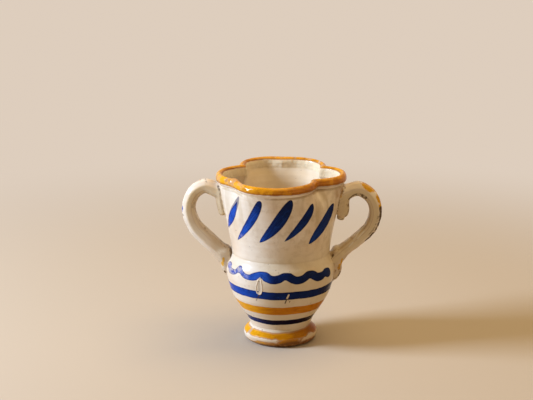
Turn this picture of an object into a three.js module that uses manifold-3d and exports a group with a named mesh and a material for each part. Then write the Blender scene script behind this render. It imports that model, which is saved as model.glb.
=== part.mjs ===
// A small two-handled jug of tin-glazed earthenware: a thrown belly on a turned foot, a collar
// pinched into four lobes under a rolled rim, and two pulled strap handles.
// Millimetres. The origin is the middle of the resting ring, +Z is up, -Y is the painted front,
// and the handles stand out along X.

import * as THREE from 'three';
import { mergeVertices } from 'three/addons/utils/BufferGeometryUtils.js';
import Module from 'manifold-3d';

const wasm = await Module();
wasm.setup();

// Heights above the table
const RECESS_HEIGHT = 3.5;
const WAIST_HEIGHT = 14;
const FLOOR_HEIGHT = 20;
const BELLY_HEIGHT = 60;
const LEDGE_HEIGHT = 74;
const PINCH_HEIGHT = 100;
const RIM_HEIGHT = 131;
const CREST_HEIGHT = 139.5;

// Radii of the turned pieces
const RING_RADIUS = 26.5;
const RECESS_RADIUS = 18;
const FOOT_RADIUS = 30;
const WAIST_RADIUS = 24.6;
const BELLY_RADIUS = 44.2;
const COLLAR_RADIUS = 34.9;

// The collar's inner side bends from upright into a straight flare.
const COLLAR_FLARE = 0.2066;
const COLLAR_BEND_HEIGHT = 77.5;
const COLLAR_BEND_LENGTH = 8;

// The clay's thickness, and the slip line that parts each handle from the body
const WALL = 4.2;
const SLIP = 0.3;

// The mouth at the rim's inner edge: round bays, softly joined. The front lobe and the two side
// lobes are a bay each, and the wide back lobe is two bays with a slight dip between them.
const BAYS = [
  { x: -4, y: -22.3, radius: 27.4 },
  { x: 27.6, y: 0, radius: 19.6 },
  { x: 10.5, y: 28, radius: 21.6 },
  { x: -9.5, y: 32, radius: 18.8 },
  { x: -22.4, y: -0.6, radius: 24 },
];
const NOTCH_SHARPNESS = 18;

// The rim rises slightly to the back, in millimetres for each millimetre.
const RIM_TILT = 0.009;

// Facets round the turned pieces, round the lobed pieces and round a strap
const TURNED_STEPS = 48;
const LOBED_STEPS = 80;
const STRAP_SIDES = 12;

const GLAZE = { color: 0xe6d8c4, roughness: 0.28, metalness: 0 };
const OCHRE = { color: 0xd08a22, roughness: 0.3, metalness: 0 };

// Points along a smooth outline through a few [radius, height] pairs
function smooth(pairs, steps) {
  const knots = pairs.map(([radius, height]) => new THREE.Vector3(radius, height, 0));
  const points = new THREE.CatmullRomCurve3(knots).getSpacedPoints(steps);
  return points.map((point) => new THREE.Vector2(point.x, point.y));
}

// How far out a rising outline stands at a height
function reachAt(outline, height) {
  const above = outline.findIndex((point) => point.y >= height);
  if (above < 1) {
    return outline.at(above).x;
  }
  const low = outline[above - 1];
  const high = outline[above];
  return THREE.MathUtils.mapLinear(height, low.y, high.y, low.x, high.x);
}

// The inner radius of the collar before it is pinched
function collarRadius(height) {
  const above = height - COLLAR_BEND_HEIGHT;
  return COLLAR_RADIUS + COLLAR_FLARE * (above + Math.hypot(above, COLLAR_BEND_LENGTH)) / 2;
}

// The lobed mouth's radius at an azimuth, a given depth of clay outside its inner edge
function mouthRadius(depth, azimuth) {
  let sum = 0;
  for (const { x, y, radius } of BAYS) {
    const along = x * Math.cos(azimuth) + y * Math.sin(azimuth);
    const across = x * Math.sin(azimuth) - y * Math.cos(azimuth);
    const reach = along + Math.sqrt(Math.max(0, (radius + depth) ** 2 - across ** 2));
    sum += Math.max(0, reach) ** NOTCH_SHARPNESS;
  }
  return sum ** (1 / NOTCH_SHARPNESS);
}

// The collar's radius: round at the ledge, and more and more lobed towards the rim
function pinchedRadius(depth, azimuth, height) {
  const rise = Math.max(0, (height - PINCH_HEIGHT) / (RIM_HEIGHT - PINCH_HEIGHT));
  const lobed = mouthRadius(depth, azimuth) - collarRadius(RIM_HEIGHT) - depth;
  return collarRadius(height) + depth + lobed * rise ** 2;
}

// How far the rolled rim stands above the height that its outline gives
function rimRise(radius, azimuth, height) {
  return RIM_TILT * radius * Math.sin(azimuth) * (height - RIM_HEIGHT) / (CREST_HEIGHT - RIM_HEIGHT);
}

// Turns an outline round the Z axis, and then moves each point out to the radius that a rule
// gives for the outline's own measure, the azimuth and the height, and up by another rule.
function turned(outline, steps, radiusOf = (measure) => measure, riseOf = () => 0) {
  const geometry = new THREE.LatheGeometry(outline, steps);
  geometry.rotateX(Math.PI / 2);
  const place = geometry.attributes.position;
  for (let i = 0; i < place.count; i++) {
    const column = Math.floor(i / outline.length) % steps;
    const azimuth = column / steps * 2 * Math.PI - Math.PI / 2;
    const height = place.getZ(i);
    const radius = radiusOf(outline[i % outline.length].x, azimuth, height);
    const rise = riseOf(radius, azimuth, height);
    place.setXYZ(i, radius * Math.cos(azimuth), radius * Math.sin(azimuth), height + rise);
  }
  return welded(geometry);
}

// One closed skin: seams and poles are merged, and the slivers that they leave are dropped.
function welded(geometry) {
  geometry.deleteAttribute('normal');
  geometry.deleteAttribute('uv');
  const merged = mergeVertices(geometry, 1e-4);
  const corners = merged.index.array;
  const kept = [];
  for (let i = 0; i < corners.length; i += 3) {
    const [a, b, c] = corners.slice(i, i + 3);
    if (a !== b && b !== c && c !== a) {
      kept.push(a, b, c);
    }
  }
  merged.setIndex(kept);
  return merged;
}

// Outlines in [radius, height], each rising outside and falling inside
const footSide = smooth([
  [RING_RADIUS, 0],
  [28.8, 2.2],
  [FOOT_RADIUS, 5.5],
  [29.2, 8.2],
  [27, 10.4],
  [WAIST_RADIUS + 0.5, 12.4],
  [WAIST_RADIUS, WAIST_HEIGHT],
], 8);
const footOutline = [
  new THREE.Vector2(0, RECESS_HEIGHT),
  new THREE.Vector2(RECESS_RADIUS - 3, RECESS_HEIGHT - 0.5),
  new THREE.Vector2(RECESS_RADIUS, 0),
  ...footSide,
  new THREE.Vector2(0, WAIST_HEIGHT),
];

const bellySide = smooth([
  [WAIST_RADIUS, WAIST_HEIGHT],
  [27.2, 20],
  [32.5, 28],
  [39.3, 40],
  [42.9, 52],
  [BELLY_RADIUS, BELLY_HEIGHT],
  [43, 67],
  [40.9, 70.5],
  [collarRadius(LEDGE_HEIGHT) + WALL, LEDGE_HEIGHT],
], 14);
const bellyInside = smooth([
  [collarRadius(LEDGE_HEIGHT), LEDGE_HEIGHT],
  [38.4, 67.5],
  [BELLY_RADIUS - WALL, BELLY_HEIGHT],
  [38.3, 49],
  [33.5, 37],
  [25.5, 26.5],
  [15, 21],
  [0, FLOOR_HEIGHT],
], 12);
const bowlOutline = [new THREE.Vector2(0, WAIST_HEIGHT), ...bellySide, ...bellyInside];

// Heights of the collar's rows of facets, closer together where it is pinched
const collarHeights = [LEDGE_HEIGHT, 78, 84, 92, PINCH_HEIGHT, 107, 113, 118.5, 123, 127, RIM_HEIGHT];
const collarOutside = collarHeights.map((height) => new THREE.Vector2(WALL, height));
const collarInside = collarHeights.map((height) => new THREE.Vector2(0, height)).reverse();
const collarOutline = [...collarOutside, ...collarInside, collarOutside[0]];

// The rolled rim, in [depth of clay outside the mouth's inner edge, height]
const rollUnderside = smooth([
  [WALL, RIM_HEIGHT],
  [5.4, 133],
  [5.9, 135.6],
], 3);
const rollOver = smooth([
  [5.9, 135.6],
  [5.1, 138.2],
  [3, CREST_HEIGHT],
  [0.9, 138.3],
  [0, 135.5],
  [0, RIM_HEIGHT],
], 8);
const lipOutline = [...rollUnderside, ...rollOver.slice(1), rollUnderside[0]];

// How far out the whole body stands at an azimuth and a height, as flat-faceted as its pieces are
function bodyRadius(azimuth, height) {
  if (height < LEDGE_HEIGHT) {
    return reachAt(bellySide, height);
  }
  if (height < RIM_HEIGHT) {
    return pinchedRadius(WALL, azimuth, height);
  }
  return mouthRadius(reachAt(rollUnderside, Math.min(height, rollUnderside.at(-1).y)), azimuth);
}

// The body as one plain lump, grown by the slip line: what the handles are fitted against
function fittingLump() {
  const rows = [...bellySide, ...collarOutside, ...rollUnderside].map((point) => point.y);
  const heights = [...new Set(rows), CREST_HEIGHT];
  const side = heights.map((height) => new THREE.Vector2(1, height));
  const outline = [new THREE.Vector2(0, heights[0]), ...side, new THREE.Vector2(0, CREST_HEIGHT)];
  const grown = (share, azimuth, height) => share * (bodyRadius(azimuth, height) + SLIP);
  return solid(turned(outline, LOBED_STEPS, grown));
}

// A strap of clay along a route of [distance from the axis, height, thickness, width], on the
// side of the jug where X has the given sign. Its section is a full oval.
function strap(side, route, steps) {
  const spine = new THREE.CatmullRomCurve3(route.map(([x, z]) => new THREE.Vector3(side * x, 0, z)));
  const sizes = new THREE.CatmullRomCurve3(
    route.map(([, , thickness, width]) => new THREE.Vector3(thickness, width, 0)),
  );
  const places = [];
  const corners = [];
  for (let i = 0; i <= steps; i++) {
    const middle = spine.getPoint(i / steps);
    const { x: thickness, y: width } = sizes.getPoint(i / steps);
    const along = spine.getTangent(i / steps);
    for (let j = 0; j < STRAP_SIDES; j++) {
      const turn = j / STRAP_SIDES * 2 * Math.PI;
      const out = thickness / 2 * Math.cos(turn);
      places.push(middle.x + along.z * out, width / 2 * Math.sin(turn), middle.z - along.x * out);
      const next = (j + 1) % STRAP_SIDES;
      if (i < steps) {
        const row = i * STRAP_SIDES;
        const later = row + STRAP_SIDES;
        corners.push(row + j, row + next, later + j, row + next, later + next, later + j);
      }
    }
  }
  const first = places.length / 3;
  for (const end of [0, 1]) {
    places.push(...spine.getPoint(end).toArray());
  }
  for (let j = 0; j < STRAP_SIDES; j++) {
    const next = (j + 1) % STRAP_SIDES;
    const last = steps * STRAP_SIDES;
    corners.push(first, next, j, first + 1, last + j, last + next);
  }
  const geometry = new THREE.BufferGeometry();
  geometry.setAttribute('position', new THREE.Float32BufferAttribute(places, 3));
  geometry.setIndex(corners);
  return geometry;
}

// A closed geometry as a solid that can be joined and cut, and back again
function solid(geometry) {
  return new wasm.Manifold(new wasm.Mesh({
    numProp: 3,
    vertProperties: new Float32Array(geometry.attributes.position.array),
    triVerts: new Uint32Array(geometry.index.array),
  }));
}

function fromSolid(body) {
  const { vertProperties, triVerts } = body.getMesh();
  const geometry = new THREE.BufferGeometry();
  geometry.setAttribute('position', new THREE.Float32BufferAttribute(vertProperties, 3));
  geometry.setIndex([...triVerts]);
  return geometry;
}

// Each handle is one pulled strap: it springs from the collar under the rim, loops out and comes
// down to the shoulder ledge, and both of its ends are pressed down the wall as tails.
const LEFT_HANDLE = {
  side: -1,
  loop: [
    [43, 125, 15, 20], [52, 126.6, 12.4, 16], [61, 128, 10.6, 14], [70, 122.3, 11, 13.5],
    [74, 110, 10.9, 13.5], [70, 96, 11.8, 13.5], [61.5, 86, 12.6, 14], [52, 77, 12.6, 15],
    [42, 67.5, 13, 17],
  ],
  upperTail: [[47, 126, 11, 17], [47.4, 117, 10.4, 15], [46, 109, 10, 14], [44.6, 103.4, 9, 12.5]],
  lowerTail: [[46, 71, 13, 17], [44.2, 65, 10, 16], [43.6, 59.5, 7.6, 14], [42.6, 54.8, 4, 9]],
};
const RIGHT_HANDLE = {
  side: 1,
  loop: [
    [43, 121, 14, 20], [53, 123.6, 11.4, 16], [63, 125.7, 11, 14], [72.5, 119.5, 10.8, 13.5],
    [76.6, 108, 10.2, 13.5], [73, 94.2, 10, 13.5], [63.5, 84.4, 9.9, 14], [53, 76, 9.4, 15],
    [43, 67.5, 10, 17],
  ],
  upperTail: [[49, 124, 12, 17], [50.3, 115, 10.8, 15.5], [49.4, 108, 10.6, 14.5],
    [47.8, 102.5, 7.6, 11], [46.6, 99.4, 2.5, 5]],
  lowerTail: [[47, 71, 12, 17], [44.8, 65, 10.4, 16.5], [44, 58.5, 11, 15.5], [42.8, 52.8, 8, 12],
    [41.8, 49, 2.5, 6]],
};

function handle({ side, loop, upperTail, lowerTail }) {
  const clay = solid(strap(side, loop, 30))
    .add(solid(strap(side, upperTail, 8)))
    .add(solid(strap(side, lowerTail, 8)));
  return fromSolid(clay.subtract(fittingLump()));
}

function piece(name, geometry, finish) {
  const mesh = new THREE.Mesh(geometry, new THREE.MeshStandardMaterial(finish));
  mesh.name = name;
  return mesh;
}

const jug = new THREE.Group();
jug.add(
  piece('foot', turned(footOutline, TURNED_STEPS), GLAZE),
  piece('bowl', turned(bowlOutline, TURNED_STEPS), GLAZE),
  piece('neck', turned(collarOutline, LOBED_STEPS, pinchedRadius), GLAZE),
  piece('lip', turned(lipOutline, LOBED_STEPS, mouthRadius, rimRise), OCHRE),
  piece('left_handle', handle(LEFT_HANDLE), GLAZE),
  piece('right_handle', handle(RIGHT_HANDLE), GLAZE),
);

export default jug;
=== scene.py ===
"""A small two-handled jug of tin-glazed earthenware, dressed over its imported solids.

The pieces are the potter's own: a turned foot, a thrown bowl, a collar pinched into lobes, a
rolled lip and two pulled strap handles. Sizes are worked in millimetres, and each mesh is made
in metres in the model's frame: +Z up, the painted front towards -Y, the handles along X.
"""
import logging
import math
from dataclasses import dataclass
from enum import Enum
from typing import ClassVar

import bpy
import numpy as np
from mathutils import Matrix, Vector


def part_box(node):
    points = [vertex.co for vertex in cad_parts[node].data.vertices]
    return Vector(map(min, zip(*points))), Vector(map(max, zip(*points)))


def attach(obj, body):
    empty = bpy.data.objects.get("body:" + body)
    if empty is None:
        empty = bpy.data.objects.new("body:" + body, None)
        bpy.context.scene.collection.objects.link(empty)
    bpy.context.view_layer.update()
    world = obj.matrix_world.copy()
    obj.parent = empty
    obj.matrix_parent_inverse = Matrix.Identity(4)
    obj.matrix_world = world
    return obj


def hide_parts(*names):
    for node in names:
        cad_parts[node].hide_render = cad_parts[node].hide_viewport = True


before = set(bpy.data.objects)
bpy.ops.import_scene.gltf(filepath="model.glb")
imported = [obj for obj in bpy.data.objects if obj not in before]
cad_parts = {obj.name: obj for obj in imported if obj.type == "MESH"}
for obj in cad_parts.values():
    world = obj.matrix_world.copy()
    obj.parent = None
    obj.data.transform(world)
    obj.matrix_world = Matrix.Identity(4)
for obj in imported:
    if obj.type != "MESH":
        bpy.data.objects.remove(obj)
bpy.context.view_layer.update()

MM = 0.001
log = logging.getLogger("jug")

Colour = tuple[float, float, float]
Place = tuple[float, float]


# Shapes

@dataclass(frozen=True)
class Bay:
    """One round bay of the mouth, seen from above, in millimetres."""

    x: float
    y: float
    radius: float

    def reach(self, depth: float | np.ndarray, azimuth: np.ndarray) -> np.ndarray:
        """How far the bay's edge stands from the jug's axis.

        Args:
            depth: Clay outside the bay's inner edge.
            azimuth: Directions round the axis, in radians.

        Returns:
            Distances from the axis, zero where the bay isn't met.
        """
        along = self.x * np.cos(azimuth) + self.y * np.sin(azimuth)
        across = self.x * np.sin(azimuth) - self.y * np.cos(azimuth)
        return np.maximum(0, along + np.sqrt(np.maximum(0, (self.radius + depth) ** 2 - across**2)))


@dataclass(frozen=True)
class Form:
    """The jug's heights and radii in millimetres, with the rules that its pieces share."""

    recess: float = 3.5
    waist: float = 14
    floor: float = 20
    belly: float = 60
    ledge: float = 74
    pinch: float = 100
    rim: float = 131
    crest: float = 139.5
    ring_radius: float = 26.5
    recess_radius: float = 18
    foot_radius: float = 30
    waist_radius: float = 24.6
    belly_radius: float = 44.2
    collar_inside: float = 34.9
    flare: float = 0.2066
    bend_height: float = 77.5
    bend_length: float = 8
    wall: float = 4.2
    tilt: float = 0.009
    bays: tuple[Bay, ...] = (
        Bay(-4, -22.3, 27.4),
        Bay(27.6, 0, 19.6),
        Bay(10.5, 28, 21.6),
        Bay(-9.5, 32, 18.8),
        Bay(-22.4, -0.6, 24),
    )
    notch_sharpness: float = 18

    def collar_radius(self, height: float | np.ndarray) -> np.ndarray:
        """The inner radius of the collar before it is pinched."""
        above = np.asarray(height, float) - self.bend_height
        return self.collar_inside + self.flare * (above + np.hypot(above, self.bend_length)) / 2

    def mouth_radius(self, depth: float | np.ndarray, azimuth: np.ndarray) -> np.ndarray:
        """The lobed mouth's radius, a depth of clay outside its inner edge."""
        total = sum(bay.reach(depth, azimuth) ** self.notch_sharpness for bay in self.bays)
        return total ** (1 / self.notch_sharpness)

    def pinched_radius(
        self, depth: float | np.ndarray, azimuth: np.ndarray, height: np.ndarray
    ) -> np.ndarray:
        """The collar's radius: round at the ledge, more and more lobed towards the rim.

        Args:
            depth: Clay outside the wall's inner skin.
            azimuth: Directions round the axis, in radians.
            height: Heights in millimetres.

        Returns:
            The radii.
        """
        rise = np.maximum(0, (height - self.pinch) / (self.rim - self.pinch))
        lobed = self.mouth_radius(depth, azimuth) - self.collar_radius(self.rim) - depth
        return self.collar_radius(height) + depth + lobed * rise**3

    def hand(self, azimuth: np.ndarray, height: np.ndarray) -> np.ndarray:
        """How far the thrower's hand left the skin out of true, outwards.

        Args:
            azimuth: Directions round the axis, in radians.
            height: Heights in millimetres.

        Returns:
            Distances in millimetres.
        """
        slow = 0.16 * np.sin(2 * azimuth + 0.9 + height * 0.021)
        slow += 0.11 * np.sin(3 * azimuth - 1.2 - height * 0.034)
        rings = 0.055 * np.sin(height * 1.18 + 0.8 * np.sin(azimuth + 0.6))
        rings += 0.04 * np.sin(height * 2.63 + 1.1 * np.sin(2 * azimuth + 0.3) + azimuth)
        return slow + rings

    def groove(self, depth: np.ndarray, height: np.ndarray) -> np.ndarray:
        """How far the crease under the lip cuts into the outer skin."""
        outer = np.clip(depth / self.wall, 0, 1)
        return -0.55 * outer * np.exp(-(((height - self.rim + 0.3) / 0.75) ** 2))


FORM = Form()


def catmull_rom(knots: np.ndarray, steps: int) -> np.ndarray:
    """A smooth centripetal curve through knots.

    Args:
        knots: The points that the curve passes, one a row.
        steps: Places on each stretch between two knots.

    Returns:
        The curve's points, one a row, the last knot included.
    """
    padded = np.vstack([2 * knots[0] - knots[1], knots, 2 * knots[-1] - knots[-2]])
    share = np.linspace(0, 1, steps, endpoint=False)[:, None]
    stretches = []
    for before, here, there, after in zip(padded, padded[1:], padded[2:], padded[3:]):
        gaps = [math.sqrt(np.linalg.norm(b - a)) for a, b in ((before, here), (here, there), (there, after))]
        leave = (here - before) / gaps[0] - (there - before) / (gaps[0] + gaps[1]) + (there - here) / gaps[1]
        arrive = (there - here) / gaps[1] - (after - here) / (gaps[1] + gaps[2]) + (after - there) / gaps[2]
        leave, arrive = leave * gaps[1], arrive * gaps[1]
        cubic = 2 * here - 2 * there + leave + arrive
        square = -3 * here + 3 * there - 2 * leave - arrive
        stretches.append(here + leave * share + square * share**2 + cubic * share**3)
    return np.vstack([*stretches, knots[-1]])


def smooth(pairs: list[Place], count: int) -> np.ndarray:
    """An outline through a few (radius, height) pairs, in evenly spaced points.

    Args:
        pairs: The places that the outline passes.
        count: Stretches in the result.

    Returns:
        The outline's points, one more than the stretches.
    """
    fine = catmull_rom(np.array(pairs, float), 40)
    run = np.r_[0, np.cumsum(np.linalg.norm(np.diff(fine, axis=0), axis=1))]
    even = np.linspace(0, run[-1], count + 1)
    return np.column_stack([np.interp(even, run, fine[:, k]) for k in range(fine.shape[1])])


def mesh_object(name: str, places: np.ndarray, faces: list, sharp: float = 50) -> bpy.types.Object:
    """An object from points in millimetres.

    Args:
        name: The piece's name.
        places: Its points, one a row.
        faces: Corner numbers of each face.
        sharp: Edges bent by more than this many degrees stay crisp.

    Returns:
        The smooth-shaded object, linked to the scene.
    """
    mesh = bpy.data.meshes.new(name)
    mesh.from_pydata((places * MM).tolist(), [], faces)
    mesh.update()
    mesh.shade_smooth()
    mesh.set_sharp_from_angle(angle=math.radians(sharp))
    piece = bpy.data.objects.new(name, mesh)
    bpy.context.scene.collection.objects.link(piece)
    return piece


def mark(piece: bpy.types.Object, name: str, values: np.ndarray) -> None:
    """Writes one number for each point of a piece, which its finish reads by name."""
    layer = piece.data.attributes.new(name, "FLOAT", "POINT")
    layer.data.foreach_set("value", values.astype(np.float32))


class Piece:
    """A piece of the jug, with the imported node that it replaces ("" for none) and its slot."""

    node: str
    slot: ClassVar[str] = "tin_glaze"

    def build(self) -> bpy.types.Object:
        """Makes the piece's object."""
        raise NotImplementedError

    def dress(self, finish: bpy.types.Material) -> None:
        """Builds the piece, gives it its finish and its body, and hides the imported node that it replaces.

        Args:
            finish: Its material.
        """
        piece, node, slot = self.build(), self.node, self.slot
        piece.data.materials.append(finish)
        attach(piece, "root")
        if node:
            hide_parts(node)
        corners = np.array([tuple(corner) for corner in piece.bound_box]) / MM
        log.info("%s: %d faces, %s to %s mm", piece.name, len(piece.data.polygons),
                 corners.min(axis=0).round(1).tolist(), corners.max(axis=0).round(1).tolist())


@dataclass
class Turned(Piece):
    """A piece of the jug that is an outline taken once round the axis.

    Within the still radius the thrower's hand fades out, so that the axis stays put.
    """

    form: Form = FORM
    steps: int = 360
    still: float = 12

    def outline(self) -> np.ndarray:
        """The outline's (measure, height) points; a first or last measure of 0 is on the axis."""
        raise NotImplementedError

    def radius(self, measure: np.ndarray, azimuth: np.ndarray, height: np.ndarray) -> np.ndarray:
        """The radius that an outline point stands at: plain turning unless a piece says more."""
        return measure + self.form.hand(azimuth, height) * np.clip(measure / self.still, 0, 1)

    def rise(self, radius: np.ndarray, azimuth: np.ndarray, height: np.ndarray) -> np.ndarray:
        """How far a point stands above its outline's height."""
        return np.zeros_like(radius)

    def depth(self, rows: np.ndarray) -> np.ndarray:
        """How far out in the clay's thickness each outline point lies, in millimetres."""
        return np.full(len(rows), self.form.wall)

    def build(self) -> bpy.types.Object:
        """Turns the outline into one closed skin.

        Returns:
            The piece's object.
        """
        outline = self.outline()
        capped = outline[0, 0] == 0
        rows = outline[1:-1] if capped else outline[:-1]
        azimuth = np.arange(self.steps) / self.steps * 2 * np.pi - np.pi / 2
        measure, height = rows[:, :1], rows[:, 1:]
        around = np.broadcast_to(azimuth, (len(rows), self.steps))
        height = np.broadcast_to(height, around.shape)
        radius = self.radius(np.broadcast_to(measure, around.shape), around, height)
        level = height + self.rise(radius, around, height)
        skin = np.stack([radius * np.cos(around), radius * np.sin(around), level], axis=-1)
        places = skin.reshape(-1, 3)
        corner = np.arange(len(places)).reshape(around.shape)
        beyond = np.roll(corner, -1, axis=1)
        if not capped:
            corner = np.vstack([corner, corner[:1]])
            beyond = np.vstack([beyond, beyond[:1]])
        quads = np.stack([corner[:-1], beyond[:-1], beyond[1:], corner[1:]], axis=-1)
        faces = quads.reshape(-1, 4).tolist()
        if capped:
            first = len(places)
            ends = [[0, 0, outline[0, 1]], [0, 0, outline[-1, 1]]]
            places = np.vstack([places, ends])
            faces += [[first, b, a] for a, b in zip(corner[0].tolist(), beyond[0].tolist())]
            faces += [[first + 1, a, b] for a, b in zip(corner[-1].tolist(), beyond[-1].tolist())]
        piece = mesh_object(self.node, places, faces)
        depth = np.repeat(self.depth(rows), self.steps)
        mark(piece, "depth", np.r_[depth, depth[0], depth[-1]] if capped else depth)
        return piece


@dataclass
class Foot(Turned):
    """The turned foot, with its resting ring and the shallow recess underneath."""

    node: ClassVar[str] = "foot"

    def outline(self) -> np.ndarray:
        """Recess, ring and side, closed by the joint face at the waist.

        Returns:
            The outline's (radius, height) points.
        """
        form = self.form
        recess = smooth([(0, form.recess), (10, form.recess), (15, 3.1), (17.2, 1.6), (18.4, 0.3)], 24)
        ring = smooth([(18.4, 0.3), (19.4, 0.02), (22, 0), (25.2, 0.02), (26.6, 0.35)], 12)
        side = smooth([(26.6, 0.35), (28.8, 2.2), (form.foot_radius, 5.5), (29.2, 8.2), (27, 10.4),
                       (form.waist_radius + 0.5, 12.4), (form.waist_radius, form.waist)], 34)
        joint = np.array([(20, form.waist), (0, form.waist)])
        return np.vstack([recess, ring[1:], side[1:], joint])


@dataclass
class Bowl(Turned):
    """The thrown belly, from the waist to the shoulder ledge, with its closed floor."""

    node: ClassVar[str] = "bowl"

    def outside(self) -> np.ndarray:
        """The belly's outer outline, rising.

        Returns:
            Its (radius, height) points.
        """
        form = self.form
        edge = float(form.collar_radius(form.ledge)) + form.wall
        return smooth([(form.waist_radius, form.waist), (27.2, 20), (32.5, 28), (39.3, 40), (42.9, 52),
                       (form.belly_radius, form.belly), (43, 67), (40.9, 70.5), (edge, form.ledge)], 84)

    def outline(self) -> np.ndarray:
        """Joint face, outside, ledge and inside down to the middle of the floor.

        Returns:
            The outline's (radius, height) points.
        """
        form = self.form
        inside = smooth([(float(form.collar_radius(form.ledge)), form.ledge), (38.4, 67.5),
                         (form.belly_radius - form.wall, form.belly), (38.3, 49), (33.5, 37),
                         (25.5, 26.5), (15, 21), (0, form.floor)], 84)
        joint = np.array([(0, form.waist), (20, form.waist)])
        return np.vstack([joint, self.outside(), inside])

    def depth(self, rows: np.ndarray) -> np.ndarray:
        """The wall's thickness outside, and 0 from the ledge down the inside."""
        return np.where(np.arange(len(rows)) <= len(self.outside()), self.form.wall, 0.0)


@dataclass
class Lobed(Turned):
    """A turned piece that follows the lobes, so that its outline measures the depth of clay."""

    steps: int = 480

    def depth(self, rows: np.ndarray) -> np.ndarray:
        """The outline's own measure."""
        return rows[:, 0]


@dataclass
class Neck(Lobed):
    """The collar that flares from the ledge and is pinched into lobes at the top."""

    node: ClassVar[str] = "neck"

    def outline(self) -> np.ndarray:
        """Outside going up and inside coming down.

        Returns:
            The outline's (depth of clay, height) points.
        """
        form = self.form
        up = np.linspace(form.ledge, form.rim, 58)
        outside = np.column_stack([np.full_like(up, form.wall), up])
        inside = np.column_stack([np.zeros_like(up), up[::-1]])
        return np.vstack([outside, inside, outside[:1]])

    def radius(self, measure: np.ndarray, azimuth: np.ndarray, height: np.ndarray) -> np.ndarray:
        """The pinched collar, out of true by the thrower's hand.

        Args:
            measure: Depths of clay, in millimetres.
            azimuth: Directions round the axis, in radians.
            height: Heights in millimetres.

        Returns:
            The radii.
        """
        form = self.form
        skin = form.pinched_radius(measure, azimuth, height)
        return skin + form.hand(azimuth, height) + form.groove(measure, height)


@dataclass
class Lip(Lobed):
    """The rolled rim that follows the lobes, with the crease under it."""

    node: ClassVar[str] = "lip"
    slot: ClassVar[str] = "ochre_glaze"
    widest: Place = (5.9, 135.6)
    tip_azimuth: float = math.radians(-146)
    tip_height: float = 0.7
    tip_width: float = 0.07

    def underside(self) -> np.ndarray:
        """The outline from the crease out to the roll's widest place."""
        return smooth([(self.form.wall, self.form.rim), (4.5, 132), (5.4, 133), self.widest], 12)

    def outline(self) -> np.ndarray:
        """Underside, outside, crest and inside.

        Returns:
            The outline's (depth of clay, height) points.
        """
        form = self.form
        under = self.underside()
        over = smooth([self.widest, (5.1, 138.2), (3, form.crest), (0.9, 138.3), (0, 135.5),
                       (0, form.rim)], 30)
        return np.vstack([under, over[1:], under[:1]])

    def roll(self, height: np.ndarray) -> np.ndarray:
        """How far up the roll a height lies, 0 at its crease and 1 at its crest."""
        return (height - self.form.rim) / (self.form.crest - self.form.rim)

    def from_tip(self, azimuth: np.ndarray) -> np.ndarray:
        """How far round from the pulled tip a direction lies, in radians."""
        return (azimuth - self.tip_azimuth + np.pi) % (2 * np.pi) - np.pi

    def radius(self, measure: np.ndarray, azimuth: np.ndarray, height: np.ndarray) -> np.ndarray:
        """The lobed mouth, with a roll that swells and thins slightly as it goes round.

        Args:
            measure: Depths of clay, in millimetres.
            azimuth: Directions round the axis, in radians.
            height: Heights in millimetres.

        Returns:
            The radii.
        """
        form = self.form
        swell = 0.16 * np.sin(5 * azimuth + 0.4) + 0.1 * np.sin(11 * azimuth)
        swell += self.lumps(azimuth, height)
        skin = form.mouth_radius(measure, azimuth) + form.groove(measure, height)
        return skin + form.hand(azimuth, height) + swell * self.roll(height) * measure / 5

    def lumps(self, azimuth: np.ndarray, height: np.ndarray) -> np.ndarray:
        """The uneven glaze that gathered on the roll near its pulled tip.

        Args:
            azimuth: Directions round the axis, in radians.
            height: Heights in millimetres.

        Returns:
            How far it stands out, in millimetres.
        """
        near = np.exp(-(((self.from_tip(azimuth) - 0.12) / 0.42) ** 2)) + 0.22
        rough = np.sin(27 * azimuth + 0.8 * height) + 0.7 * np.sin(44 * azimuth - 0.9 * height + 0.6)
        return 0.22 * near * rough

    def rise(self, radius: np.ndarray, azimuth: np.ndarray, height: np.ndarray) -> np.ndarray:
        """The slight tilt to the back, and the tip that the pinching pulled up at one notch.

        Args:
            radius: Distances from the axis.
            azimuth: Directions round the axis, in radians.
            height: Heights in millimetres.

        Returns:
            How far the points rise, in millimetres.
        """
        tilt = self.form.tilt * radius * np.sin(azimuth)
        tip = self.tip_height * np.exp(-((self.from_tip(azimuth) / self.tip_width) ** 2))
        wavy = 0.12 * np.sin(4 * azimuth + 1.3) + 0.07 * np.sin(9 * azimuth)
        return (tilt + tip + wavy) * self.roll(height)


# Handles

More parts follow.
